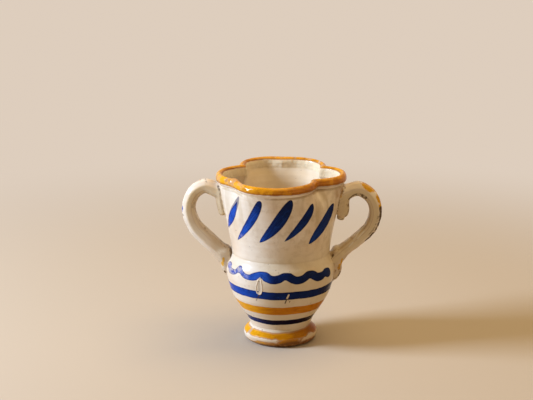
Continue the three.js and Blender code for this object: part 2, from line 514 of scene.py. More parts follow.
@dataclass(frozen=True)
class Strap:
    """One pull of clay: stations of (distance from the axis, height, thickness, width)."""

    stations: tuple[tuple[float, float, float, float], ...]
    squareness: float = 3.4
    arris: float = 0.36
    arris_angle: float = math.radians(42)

    def spine(self) -> tuple[np.ndarray, np.ndarray, np.ndarray]:
        """The strap's middle line.

        Returns:
            Its points with their sizes, its directions, and the run along it in millimetres.
        """
        line = catmull_rom(np.array(self.stations, float), 24)
        run = np.r_[0, np.cumsum(np.linalg.norm(np.diff(line[:, :2], axis=0), axis=1))]
        way = np.gradient(line[:, :2], axis=0)
        return line, way / np.linalg.norm(way, axis=1, keepdims=True), run

    def measure(self, reach: np.ndarray, y: np.ndarray, z: np.ndarray) -> tuple[np.ndarray, ...]:
        """Where points lie against the strap.

        Args:
            reach: Distances from the jug's axis along the handle's side.
            y: Distances from the handles' plane.
            z: Heights.

        Returns:
            The distance from the skin (inside is negative), the run along the strap, and how far
            to its outer face the point lies, from -1 to 1.
        """
        line, way, run = self.spine()
        gap = (reach[:, None] - line[None, :, 0]) ** 2 + (z[:, None] - line[None, :, 1]) ** 2
        near = gap.argmin(axis=1)
        here = line[near]
        off = np.column_stack([reach, z]) - here[:, :2]
        past = np.abs((off * way[near]).sum(axis=1))
        past = np.where((near == 0) | (near == len(line) - 1), past, 0)
        out = off[:, 0] * -way[near, 1] + off[:, 1] * way[near, 0]
        half_out, half_wide = here[:, 2] / 2, here[:, 3] / 2
        power = self.squareness
        parts = [(np.abs(out), half_out), (np.abs(y), half_wide), (past, half_out)]
        size = sum((value / half) ** power for value, half in parts) ** (1 / power)
        size = np.maximum(size, 1e-3)
        steep = [(value / half / size) ** (power - 1) / half for value, half in parts]
        slope = np.sqrt(sum(s**2 for s in steep))
        skin = (size - 1) / np.maximum(slope, 1e-3)
        lean, rise = math.sin(self.arris_angle), math.cos(self.arris_angle)
        facet = lean * (out - self.arris * half_out) + rise * (np.abs(y) - 0.98 * half_wide)
        return -melt(-skin, -facet, 0.9), run[near], out / half_out


def melt(first: np.ndarray, second: np.ndarray, width: float) -> np.ndarray:
    """Joins two distances with a fillet of about the given width."""
    blend = np.maximum(width - np.abs(first - second), 0) / width
    return np.minimum(first, second) - blend**3 * width / 6


def net_of(values: np.ndarray, low: np.ndarray, step: float) -> tuple[np.ndarray, np.ndarray]:
    """A skin of four-cornered faces where a block of distances passes zero.

    Args:
        values: Distances on a regular block of places.
        low: The block's lowest corner.
        step: The spacing of its places.

    Returns:
        The skin's points and its faces, each face turned outwards.
    """
    shape = np.array(values.shape) - 1
    total = np.zeros((*shape, 3))
    count = np.zeros(shape)
    edges = []
    for axis in range(3):
        near = values[tuple(slice(None, -1) if k == axis else slice(None) for k in range(3))]
        far = values[tuple(slice(1, None) if k == axis else slice(None) for k in range(3))]
        crossing = (near < 0) != (far < 0)
        at = np.argwhere(crossing)
        share = near[crossing] / (near[crossing] - far[crossing])
        place = at.astype(float)
        place[:, axis] += share
        sides = [k for k in range(3) if k != axis]
        inner = np.ones(len(at), bool)
        for side in sides:
            inner &= (at[:, side] > 0) & (at[:, side] < values.shape[side] - 1)
        at, place = at[inner], place[inner]
        ring = []
        for a, b in ((0, 0), (-1, 0), (-1, -1), (0, -1)):
            cell = at.copy()
            cell[:, sides[0]] += a
            cell[:, sides[1]] += b
            np.add.at(total, tuple(cell.T), place)
            np.add.at(count, tuple(cell.T), 1)
            ring.append(cell)
        turned = near[tuple(at.T)] < 0
        if axis == 1:
            turned = ~turned
        edges.append((ring, turned))
    used = count > 0
    number = np.full(shape, -1)
    number[used] = np.arange(used.sum())
    points = low + step * total[used] / count[used][:, None]
    faces = []
    for ring, turned in edges:
        quads = np.column_stack([number[tuple(cell.T)] for cell in ring])
        faces.append(np.where(turned[:, None], quads, quads[:, ::-1]))
    return points, np.vstack(faces)


class Side(Enum):
    """The jug's sides, by the sign of X."""

    LEFT = -1
    RIGHT = 1


@dataclass
class Handle(Piece):
    """A pulled strap handle: its loop and the two tails that are pressed down the wall.

    The step is the spacing of the places at which the clay is measured, and the margin how far
    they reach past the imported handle. Loop and tails melt together over the join's width, and the
    clay runs out over the wall in a fillet that ends a little under the wall's skin.
    """

    node: str
    side: Side
    loop: Strap
    upper_tail: Strap
    lower_tail: Strap
    form: Form = FORM
    step: float = 0.62
    margin: float = 3.5
    join: float = 3
    fillet: float = 1.5
    tuck: float = 0.15
    sunk: float = 1.3
    root_width: float = 2.5

    def wall_distance(self, x: np.ndarray, y: np.ndarray, z: np.ndarray) -> np.ndarray:
        """How far points stand off the jug's outer skin.

        Args:
            x: Places along the handles' plane.
            y: Distances from that plane.
            z: Heights.

        Returns:
            The distances, less than 0 inside the clay.
        """
        form = self.form
        azimuth = np.arctan2(y, x)
        outside = Bowl().outside()
        belly = np.interp(z, outside[:, 1], outside[:, 0])
        collar = form.pinched_radius(form.wall, azimuth, np.clip(z, form.ledge, form.rim))
        under = Lip().underside()
        roll = np.interp(z, under[:, 1], under[:, 0])
        lip = form.mouth_radius(roll, azimuth)
        radius = np.where(z < form.ledge, belly, np.where(z < form.rim, collar, lip))
        lean = np.interp(z, [45, 56, 62, 68, 74, 78, 131], [0.3, 0.12, 0.1, 0.5, 0.5, 0.15, 0.2])
        return (np.hypot(x, y) - radius - form.hand(azimuth, z)) / np.hypot(1, lean)

    def distance(self, places: np.ndarray) -> np.ndarray:
        """How far points lie from the handle's skin.

        Args:
            places: The points, one a row, in millimetres.

        Returns:
            The distances, less than 0 inside the handle.
        """
        x, y, z = places.T
        reach = x * self.side.value
        clay = self.loop.measure(reach, y, z)[0]
        for tail in (self.upper_tail, self.lower_tail):
            clay = melt(clay, tail.measure(reach, y, z)[0], self.join)
        lumps = 0.13 * np.sin(x * 0.31 + z * 0.23) * np.cos(z * 0.29 - y * 0.4)
        lumps += 0.07 * np.sin(z * 0.83 + y * 0.6 + x * 0.5)
        clay = clay + lumps
        wall = self.wall_distance(x, y, z)
        skin = melt(clay, wall + self.tuck, self.fillet)
        return np.maximum(np.maximum(skin, -(wall + self.sunk)), clay - self.fillet * 1.2)

    def build(self) -> bpy.types.Object:
        """Skins the clay and marks each point with its place on the strap.

        Returns:
            The handle's object, with its run, outer side and root as point attributes.
        """
        low, high = (np.array(corner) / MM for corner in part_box(self.node))
        low, high = low - self.margin, high + self.margin
        axes = [np.arange(a, b, self.step) for a, b in zip(low, high)]
        block = np.stack(np.meshgrid(*axes, indexing="ij"), axis=-1)
        values = np.concatenate([self.distance(part.reshape(-1, 3)) for part in block])
        points, faces = net_of(values.reshape(block.shape[:3]), low, self.step)
        points = self.settle(points)
        piece = mesh_object(self.node, points, faces.tolist(), sharp=75)
        x, y, z = points.T
        _, run, outer = self.loop.measure(x * self.side.value, y, z)
        root = np.clip(1 - self.wall_distance(x, y, z) / self.root_width, 0, 1)
        for name, values in (("run", run), ("outer", outer), ("root", root)):
            mark(piece, name, values)
        return piece

    def settle(self, points: np.ndarray) -> np.ndarray:
        """Moves points onto the skin along the slope of the distance, in two small steps.

        Args:
            points: Points near the skin, one a row.

        Returns:
            The points on the skin.
        """
        nudge = 0.05
        for _ in range(2):
            here = self.distance(points)
            slope = np.column_stack([
                (self.distance(points + nudge * way) - self.distance(points - nudge * way)) / (2 * nudge)
                for way in np.eye(3)
            ])
            size = np.maximum((slope**2).sum(axis=1), 0.25)
            shift = -here[:, None] * slope / size[:, None]
            points = points + np.clip(shift, -0.3, 0.3)
        return points


LEFT = Handle(
    node="left_handle",
    side=Side.LEFT,
    loop=Strap((
        (43, 122.6, 13, 19), (52, 125.6, 11.6, 16), (61, 128, 10.6, 14), (70, 122.3, 11, 13.5),
        (74, 110, 10.9, 13.5), (70, 96, 11.8, 13.5), (61.5, 86, 12.6, 14), (52, 77, 12.6, 15),
        (42, 67.5, 13, 17),
    )),
    upper_tail=Strap((
        (47, 124, 11, 17), (47.2, 118, 10.2, 15.5), (46.7, 113, 9.6, 14.5), (45.9, 109.2, 9.4, 13.5),
    )),
    lower_tail=Strap(((46, 71, 13, 17), (44.2, 65, 10, 16), (43.6, 59.5, 7.6, 14), (42.6, 54.8, 4, 9))),
)
RIGHT = Handle(
    node="right_handle",
    side=Side.RIGHT,
    loop=Strap((
        (43, 118.6, 12, 19), (53, 123, 10.8, 16), (63, 125.7, 11, 14), (72.5, 119.5, 10.8, 13.5),
        (76.6, 108, 10.2, 13.5), (73, 94.2, 10, 13.5), (63.5, 84.4, 9.9, 14), (53, 76, 9.4, 15),
        (43, 67.5, 10, 17),
    )),
    upper_tail=Strap(((49, 122, 12, 17), (50, 115, 11, 15.5), (49.9, 110, 11, 14.5),
                      (49.6, 106.6, 10.6, 13.5), (49.2, 104.4, 9, 12), (48.9, 103.2, 6.4, 9))),
    lower_tail=Strap(((47, 71, 12, 17), (44.8, 65, 10.4, 16.5), (44, 58.5, 11, 15.5),
                      (42.8, 52.8, 8, 12), (41.8, 49, 2.5, 6))),
)


# Shader sockets

class Value:
    """A number or vector in a material, so that shader maths reads as plain expressions."""

    def __init__(self, nodes: "Nodes", socket: bpy.types.NodeSocket) -> None:
        """Keeps the socket and the tree that it belongs to."""
        self.nodes = nodes
        self.socket = socket

    def math(self, operation: str, *others: "Value | float") -> "Value":
        """One Math node with this value first."""
        return self.nodes.math(operation, self, *others)

    def __add__(self, other: "Value | float") -> "Value":
        """This value plus another."""
        return self.math("ADD", other)

    def __sub__(self, other: "Value | float") -> "Value":
        """This value less another."""
        return self.math("SUBTRACT", other)

    def __mul__(self, other: "Value | float") -> "Value":
        """This value times another."""
        return self.math("MULTIPLY", other)

    def __truediv__(self, other: "Value | float") -> "Value":
        """This value over another."""
        return self.math("DIVIDE", other)

    def __pow__(self, other: "Value | float") -> "Value":
        """This value to a power."""
        return self.math("POWER", other)

    def __or__(self, other: "Value | float") -> "Value":
        """The larger of two values, which lays one mask over another."""
        return self.math("MAXIMUM", other)

    def __and__(self, other: "Value | float") -> "Value":
        """The smaller of two values."""
        return self.math("MINIMUM", other)

    def __rsub__(self, other: float) -> "Value":
        """A number less this value."""
        return self.nodes.math("SUBTRACT", other, self)

    def __rtruediv__(self, other: float) -> "Value":
        """A number over this value."""
        return self.nodes.math("DIVIDE", other, self)

    __radd__ = __add__
    __rmul__ = __mul__
    __ror__ = __or__
    __rand__ = __and__

    def __abs__(self) -> "Value":
        """This value's size."""
        return self.math("ABSOLUTE")

    def over(self, low: float, high: float) -> "Value":
        """A soft step: 0 below the low value, 1 above the high one."""
        inputs = {"Value": self, "From Min": low, "From Max": high, "To Min": 0.0, "To Max": 1.0}
        return self.nodes.make("ShaderNodeMapRange", {"interpolation_type": "SMOOTHSTEP"}, inputs)

    def under(self, low: float, high: float) -> "Value":
        """A soft step down: 1 below the low value, 0 above the high one."""
        return 1 - self.over(low, high)

    def within(self, low: float, high: float, soft: float) -> "Value":
        """A soft band: 1 between two values, 0 outside them."""
        return self.over(low - soft, low + soft) * self.under(high - soft, high + soft)


class Nodes:
    """The node tree of one material, or of the world."""

    def __init__(self, name: str, world: bpy.types.World | None = None) -> None:
        """Starts a material, or a world's light, with its places in millimetres.

        Args:
            name: The material's name.
            world: The world, where the nodes are its light.
        """
        self.material = world or bpy.data.materials.new(name)
        self.material.use_nodes = True
        self.tree = self.material.node_tree
        self.tree.nodes.clear()
        self.place = self.make("ShaderNodeTexCoord", {}, {}, "Object")
        apart = self.tree.nodes.new("ShaderNodeSeparateXYZ")
        self.tree.links.new(self.place.socket, apart.inputs[0])
        self.x, self.y, self.z = (Value(self, out) * (1 / MM) for out in apart.outputs)

    def make(self, kind: str, settings: dict, inputs: dict, out: str | int = 0) -> Value:
        """Adds one node.

        Args:
            kind: The node's type.
            settings: Its properties; "points" fills a curve.
            inputs: Values or links of its sockets, by name or number.
            out: The output that is wanted.

        Returns:
            That output as a value.
        """
        node = self.tree.nodes.new(kind)
        for key, value in settings.items():
            if key == "points":
                curve = node.mapping.curves[0]
                curve.points[0].location, curve.points[1].location = value[0], value[-1]
                for spot in value[1:-1]:
                    curve.points.new(*spot)
                node.mapping.update()
            else:
                setattr(node, key, value)
        for key, value in inputs.items():
            socket = node.inputs[key]
            if isinstance(value, Value):
                self.tree.links.new(value.socket, socket)
            elif isinstance(value, tuple) and socket.type == "RGBA":
                socket.default_value = (*value, 1)
            else:
                socket.default_value = value
        return Value(self, node.outputs[out])

    def math(self, operation: str, *values: Value | float) -> Value:
        """One Math node of the given operation."""
        return self.make("ShaderNodeMath", {"operation": operation}, dict(enumerate(values)))

    def marked(self, name: str) -> Value:
        """A number that a piece carries at each of its points."""
        return self.make("ShaderNodeAttribute", {"attribute_name": name}, {}, "Fac")

    def vector(self, x: Value | float, y: Value | float, z: Value | float) -> Value:
        """A vector from three values."""
        return self.make("ShaderNodeCombineXYZ", {}, {0: x, 1: y, 2: z})

    def noise(self, scale: float, place: Value | None = None, detail: float = 3, rough: float = 0.5) -> Value:
        """Cloudy noise from 0 to 1.

        Args:
            scale: Its fineness, per unit of the place.
            place: Where it is read; the object's own place in metres if left out.
            detail: Octaves.
            rough: How strong the finer octaves are.

        Returns:
            The noise.
        """
        inputs = {"Vector": place or self.place, "Scale": scale, "Detail": detail, "Roughness": rough}
        return self.make("ShaderNodeTexNoise", {}, inputs)

    def spots(self, scale: float, radius: float, soft: float = 0.04) -> Value:
        """Small round spots, 1 inside them, set out at random.

        Args:
            scale: Cells per metre.
            radius: A spot's radius as a share of its cell.
            soft: The softness of its edge.

        Returns:
            The spots' mask, before any thinning.
        """
        near = self.make("ShaderNodeTexVoronoi", {}, {"Vector": self.place, "Scale": scale}, "Distance")
        return near.under(radius - soft, radius + soft)

    def coats(self, colour: Value | Colour, *layers: tuple[Value | float, Value | Colour]) -> Value:
        """Lays colours over one another.

        Args:
            colour: The lowest colour.
            layers: A mask and a colour for each further coat, from below upwards.

        Returns:
            The mixed colour.
        """
        for mask, above in layers:
            node = self.tree.nodes.new("ShaderNodeMix")
            node.data_type = "RGBA"
            for index, value in ((0, mask), (6, colour), (7, above)):
                if isinstance(value, Value):
                    self.tree.links.new(value.socket, node.inputs[index])
                else:
                    node.inputs[index].default_value = (*value, 1) if index else value
            colour = Value(self, node.outputs[2])
        return colour

    def finish(self, surface: dict, height: Value, depth: float) -> bpy.types.Material:
        """Ends the material in a glazed surface.

        Args:
            surface: The shader's sockets by name.
            height: Relief, about 0 to 1.
            depth: The relief's depth in metres.

        Returns:
            The material.
        """
        relief = self.make("ShaderNodeBump", {}, {"Height": height, "Distance": depth, "Strength": 1.0})
        shader = self.make("ShaderNodeBsdfPrincipled", {}, {**surface, "Normal": relief})
        self.make_output(shader)
        return self.material

    def make_output(self, shader: Value, kind: str = "ShaderNodeOutputMaterial") -> None:
        """Links a shader to the material's surface."""
        output = self.tree.nodes.new(kind)
        self.tree.links.new(shader.socket, output.inputs["Surface"])


class Skin(Nodes):
    """A finish's node tree, with the places and the unevenness that its rules share."""

    def __init__(self, name: str) -> None:
        """Starts the finish.

        Args:
            name: The material's name.
        """
        super().__init__(name)
        # Degrees round the jug, and the unevenness of painted edges in millimetres
        self.azimuth = self.y.math("ARCTAN2", self.x) * (180 / math.pi)
        self.ragged = (self.noise(160, detail=3, rough=0.6) - 0.5) * 1.3
        self.nowhere = self.ragged * 0
        self.depth = self.marked("depth")
        self.outside = self.depth.over(2, 3)
        self.cloudy = self.noise(38, detail=4, rough=0.55)
        self.fine = self.noise(420, detail=3, rough=0.6)
        self.mottle = self.noise(150, detail=5, rough=0.65)
        self.streaks = self.turned_noise(0.05, 1.1, 0.0, detail=4, rough=0.65) - 0.5
        # Painted light, lighter paint on the window side: 1 there, 0 from the front on to the right
        self.thin_and_lit = ((self.azimuth + 165) * (math.pi / 180)).math("COSINE").over(0.3, 0.98)

    def turned_noise(self, around: float, up: float, seed: float, detail: float, rough: float = 0.5) -> Value:
        """Noise that runs round the jug.

        Args:
            around: Its fineness for each degree.
            up: Its fineness for each millimetre of height.
            seed: Sets it apart from the others.
            detail: Octaves.
            rough: How strong the finer octaves are.

        Returns:
            The noise, from 0 to 1.
        """
        return self.noise(1, self.vector(self.azimuth * around, self.z * up, seed), detail, rough)

    def bristles(self, along: float, across: float, seed: float, rough: float) -> Value:
        """Noise drawn out along the leaning brush strokes.

        Args:
            along: Its fineness for each millimetre of a stroke's length.
            across: Its fineness for each millimetre of a stroke's width.
            seed: Sets it apart from the others.
            rough: How strong the finer octaves are.

        Returns:
            The noise, from 0 to 1.
        """
        length = self.azimuth * 0.44 + self.z * 0.8
        width = self.azimuth * 0.59 - self.z * 0.6
        return self.noise(1, self.vector(length * along, width * across, seed), 4, rough)


# Painting

SKIN_ARC = math.radians(42)
FOOT_ARC = math.radians(28.5)
BELLY_ARC = math.radians(43.3)
# Marks at least this strong aren't broken up by grit
SOLID = 0.9


@dataclass(frozen=True)
class Stroke:
    """One brush stroke, from its pointed foot to its round head.

    Azimuths are in degrees and heights in millimetres; bend and half width are in millimetres.
    The arc is the millimetres of skin for each degree.
    """

    foot: Place
    head: Place
    bend: float
    half: float
    taper: float
    blunt: float
    arc: float = SKIN_ARC

    @property
    def over(self) -> float:
        """How far round the jug the head lies from the foot, in millimetres."""
        return (self.head[0] - self.foot[0]) * self.arc

    @property
    def up(self) -> float:
        """How far the head lies above the foot."""
        return self.head[1] - self.foot[1]

    @property
    def peak(self) -> float:
        """The largest value that the stroke's width rule takes before it is scaled."""
        total = self.taper + self.blunt
        return (self.taper / total) ** self.taper * (self.blunt / total) ** self.blunt

    def inside(self, skin: Skin) -> Value:
        """How far inside the stroke's edge a place lies.

        Args:
            skin: The finish's nodes.

        Returns:
            Millimetres, less than 0 outside the stroke.
        """
        length = math.hypot(self.over, self.up)
        u = (skin.azimuth - self.foot[0]) * self.arc
        v = skin.z - self.foot[1]
        along = u * (self.over / length**2) + v * (self.up / length**2)
        share = along & 0.999 | 0.001
        rest = 1 - share
        aside = u * (self.up / length) - v * (self.over / length) - share * rest * (4 * self.bend)
        half = share**self.taper * rest**self.blunt * (self.half / self.peak)
        beyond = abs(along - 0.5) - 0.5 | 0.0
        return half - abs(aside) - beyond * (length * 2)

    def edge(self, count: int) -> list[Place]:
        """The stroke's outline, once round.

        Args:
            count: Points on each side.

        Returns:
            Azimuths in degrees with heights in millimetres.
        """
        length = math.hypot(self.over, self.up)
        places = []
        for side in (1, -1):
            for i in range(count):
                share = i / count if side == 1 else 1 - i / count
                half = self.half / self.peak * share**self.taper * (1 - share) ** self.blunt
                aside = side * half + 4 * self.bend * share * (1 - share)
                round_jug = share * self.over + aside * self.up / length
                places.append((self.foot[0] + round_jug / self.arc,
                               self.foot[1] + share * self.up - aside * self.over / length))
        return places


@dataclass(frozen=True)
class Nick:
    """A fine slanted mark in the glaze, between two places, in degrees or millimetres."""

    start: Place
    end: Place
    half: float
    strength: float = 0.9

    def mask(self, skin: Skin, across: Value, ragged: Value, arc: float = 1.0) -> Value:
        """Where the mark lies.

        Args:
            skin: The finish's nodes.
            across: What the places' first number measures, such as degrees round the jug.
            ragged: A small unevenness of the edge in millimetres.
            arc: Millimetres of skin for each unit of it.

        Returns:
            The mark's mask.
        """
        over = (self.end[0] - self.start[0]) * arc
        up = self.end[1] - self.start[1]
        u = (across - self.start[0]) * arc
        v = skin.z - self.start[1]
        share = u * (over / (over**2 + up**2)) + v * (up / (over**2 + up**2))
        share = share & 1.0 | 0.0
        aside, off = u - share * over, v - share * up
        return (self.half - (aside * aside + off * off) ** 0.5 + ragged * 0.5).over(-0.15, 0.15)


def trail(*spots: Place, half: float, strength: float = 0.85) -> tuple[Nick, ...]:
    """Marks that follow one another along a bent line."""
    return tuple(Nick(a, b, half, strength) for a, b in zip(spots, spots[1:]))


@dataclass(frozen=True)
class Patch:
    """A patch of paint on the foot, between two azimuths in degrees and two heights."""

    turn: Place
    rise: Place
    strength: float = 1.0

    def mask(self, skin: Skin, patchy: Value) -> Value:
        """Where the patch lies.

        Args:
            skin: The finish's nodes.
            patchy: Unevenness of its outline, about -0.5 to 0.5.

        Returns:
            The patch's mask.
        """
        (left, right), (low, high) = self.turn, self.rise
        across = (skin.azimuth - (left + right) / 2) / ((right - left) / 2)
        up = (skin.z - (low + high) / 2) / ((high - low) / 2)
        size = (across**2 * across**2 + up**2 * up**2) ** 0.25
        return (1 - size + patchy * 1.7).over(-0.2, 0.3) * self.strength


class Tint(Enum):
    """The two colours that the painter had."""

    BLUE = "blue"
    OCHRE = "ochre"


@dataclass(frozen=True)
class Dab:
    """A dab of paint on a strap's outer edge, by its run along the loop in millimetres."""

    run: float
    half: float
    tint: Tint
    outer: float = 0.35

    def mask(self, run: Value, outer: Value, patchy: Value) -> Value:
        """Where the dab lies.

        Args:
            run: Millimetres along the strap.
            outer: How far to the strap's outer face a place lies, from -1 to 1.
            patchy: Unevenness of the outline, about -0.5 to 0.5.

        Returns:
            The dab's mask.
        """
        beyond = 1.25
        along = (run - self.run) / self.half
        across = (beyond - outer) / (beyond - self.outer)
        return (1 - (along * along + across * across) ** 0.5 + patchy * 1.5).over(-0.06, 0.14)


# A run of glaze that pulled the paint away, the blue left in it, and the marks round it
RUN = Stroke((-114.2, 48.8), (-111.8, 63.4), 0.0, 2.5, 0.4, 0.85, BELLY_ARC)
LEFT_IN_RUN = Nick((-115.5, 53.6), (-114.8, 51.2), 0.7)
PALE_NICK = Nick((-81.2, 49.3), (-83, 46), 0.75)
DARK_NICKS = (
    Nick((-83.2, 45.6), (-84.8, 41.9), 0.6),
    Nick((-80.3, 47.6), (-81.4, 46), 0.35, 0.7),
    Nick((-79.4, 43.6), (-79.9, 42.8), 0.4),
    Nick((-112.7, 60.5), (-113.5, 52.2), 0.4, 0.5),
    Nick((-113.4, 48.4), (-115.4, 46.5), 0.65, 0.85),
    Nick((-115.9, 45.8), (-118.7, 42.9), 0.5, 0.5),
)
# The collar's strokes, in front and then behind, from the left handle round
STROKES = (
    Stroke((-167.5, 96.4), (-136, 124), 2.6, 3.5, 1.1, 1.05),
    Stroke((-144.4, 89.9), (-107.5, 127.9), 3.06, 3.3, 0.64, 0.37),
    Stroke((-113, 91.7), (-80.6, 129), 3.46, 4.55, 0.66, 0.47),
    Stroke((-86, 93.4), (-57, 123), 2.38, 3.48, 0.74, 0.42),
    Stroke((-58, 89.4), (-26, 118.6), 1.02, 5.2, 0.7, 0.54),
    Stroke((16, 92.5), (47, 125.5), 2.2, 3.4, 0.6, 0.4),
    Stroke((43, 91), (74, 127), 2.6, 3.9, 0.66, 0.38),
    Stroke((70, 92), (101, 127.5), 2.4, 4.2, 0.7, 0.42),
    Stroke((97, 91.5), (128, 126), 1.8, 3.3, 0.6, 0.34),
    Stroke((124, 93), (153, 124), 1.6, 3.8, 0.7, 0.45),
)
# The first stroke's brush was nearly dry along its upper side
DRY_STROKE = Stroke((-166, 95.5), (-132.6, 128.2), 1.7, 3.3, 0.6, 0.55)
# The blue bands as (height, half width) and the ochre one as (lower edge, upper edge)
BLUE_BANDS = ((21.6, 2.5), (48.2, 3.5))
OCHRE_BAND = (29.9, 37.4)
# The wavy line's upper and lower edge as (azimuth in degrees, height), all the way round
WAVE_TOP = (
    (-180, 66), (-167, 67.3), (-160, 68.5), (-155.4, 66.7), (-152.9, 65), (-148.3, 64.9), (-143.9, 66.9),
    (-142, 68.5), (-139.2, 69.2), (-137, 68.6), (-134.6, 66.9), (-130.8, 65), (-126.5, 64.3), (-122.8, 65.3),
    (-115.8, 67.3), (-110.3, 68.1), (-107.4, 68.1), (-104, 67.6), (-100.6, 66.3), (-97.4, 65.5),
    (-93.8, 65.9), (-89.6, 66.9), (-85, 67.7), (-81.1, 67.6), (-76.9, 66.3), (-74.5, 65.1), (-72.1, 64.6),
    (-67.6, 65.1), (-62.8, 66.8), (-57.2, 67.7), (-52.6, 67.2), (-48.8, 65.7), (-45.8, 64.7), (-41.3, 64.9),
    (-34.7, 66.3), (-28.5, 65.7), (-20, 64.5),
    (0, 65), (19, 66.5), (29, 64.6), (41.5, 68.1), (54, 64.8), (66.5, 67.7), (79, 64.4), (91.5, 68),
    (104, 64.9), (117, 67.8), (130, 64.6), (143, 68), (155, 65), (163, 66.5), (180, 66),
)
WAVE_BOTTOM = (
    (-180, 61), (-165.7, 63.9), (-160.7, 61.7), (-154.4, 60.1), (-147.8, 60.8), (-142.7, 62.4),
    (-139.3, 63.6), (-135.8, 62.4), (-132.1, 61.1), (-129.1, 60.4), (-125.8, 60.1), (-122, 60.1),
    (-118.5, 60.5), (-115.1, 61.5), (-112.8, 62.9), (-111, 63), (-109, 61.7), (-106.8, 60.7), (-103.5, 59.8),
    (-100.4, 59.1), (-97.3, 58.9), (-93.7, 59.3), (-89.6, 60.2), (-86.6, 61.6), (-85.2, 62.1), (-83.6, 61.7),
    (-81.4, 60.7), (-77.2, 59.1), (-72.3, 58.2), (-68, 58.6), (-63.5, 59.9), (-60, 61.3), (-58.2, 61.8),
    (-56.4, 61.2), (-53.8, 59.9), (-49.6, 58.4), (-46.3, 57.9), (-42.1, 58.2), (-38.4, 59.2), (-36.6, 59.7),
    (-34.6, 59.2), (-30.2, 58.4), (-20, 58.6), (0, 60), (19, 61.4), (29, 58.8),
    (36, 60), (41.5, 62.8), (47, 60.1), (54, 58.7), (61, 60.3), (66.5, 62.4), (72, 60), (79, 58.4),
    (86, 60), (91.5, 62.7), (97, 60.2), (104, 58.8), (111, 60.3), (117, 62.4), (123, 60), (130, 58.5),
    (137, 60.1), (143, 62.7), (149, 60.2), (155, 58.9), (163, 61), (180, 61),
)
# The lowest height of the wave's curves, and the span of their heights
WAVE_LOW, WAVE_SPAN = 56.0, 16.0
# The azimuths between which the wavy line was drawn, in front and behind
WAVE_ENDS = ((-164.5, -30), (21, 161))
# A painted highlight, a pale streak down the foot's band where the ochre is thinned, and the patches under
# its band
FOOT_GLINT = Nick((-153, 6.5), (-151.5, 13.8), 1.8)
FOOT_PATCHES = (
    Patch((-96, -56), (1.4, 7.8), 0.95),
    Patch((-52, -30), (0.6, 3.6), 0.6),
    Patch((-122, -98), (0.6, 3.1), 0.9),
    Patch((-160, -135), (0.4, 2.4), 0.7),
    Patch((14, 55), (0.6, 7.2)),
    Patch((96, 124), (0.6, 4.2), 0.8),
    Patch((142, 166), (0.6, 5), 0.7),
)


@dataclass
class Paint:
    """Where a piece's blue and ochre lie, its bare clay, and its dark marks of dirt and painted shade.

    The reach is the distance in millimetres from the blue's edge, more than 0 inside it.
    """

    blue: Value
    ochre: Value
    bare: Value
    dirt_and_shade: Value
    reach: Value | None = None


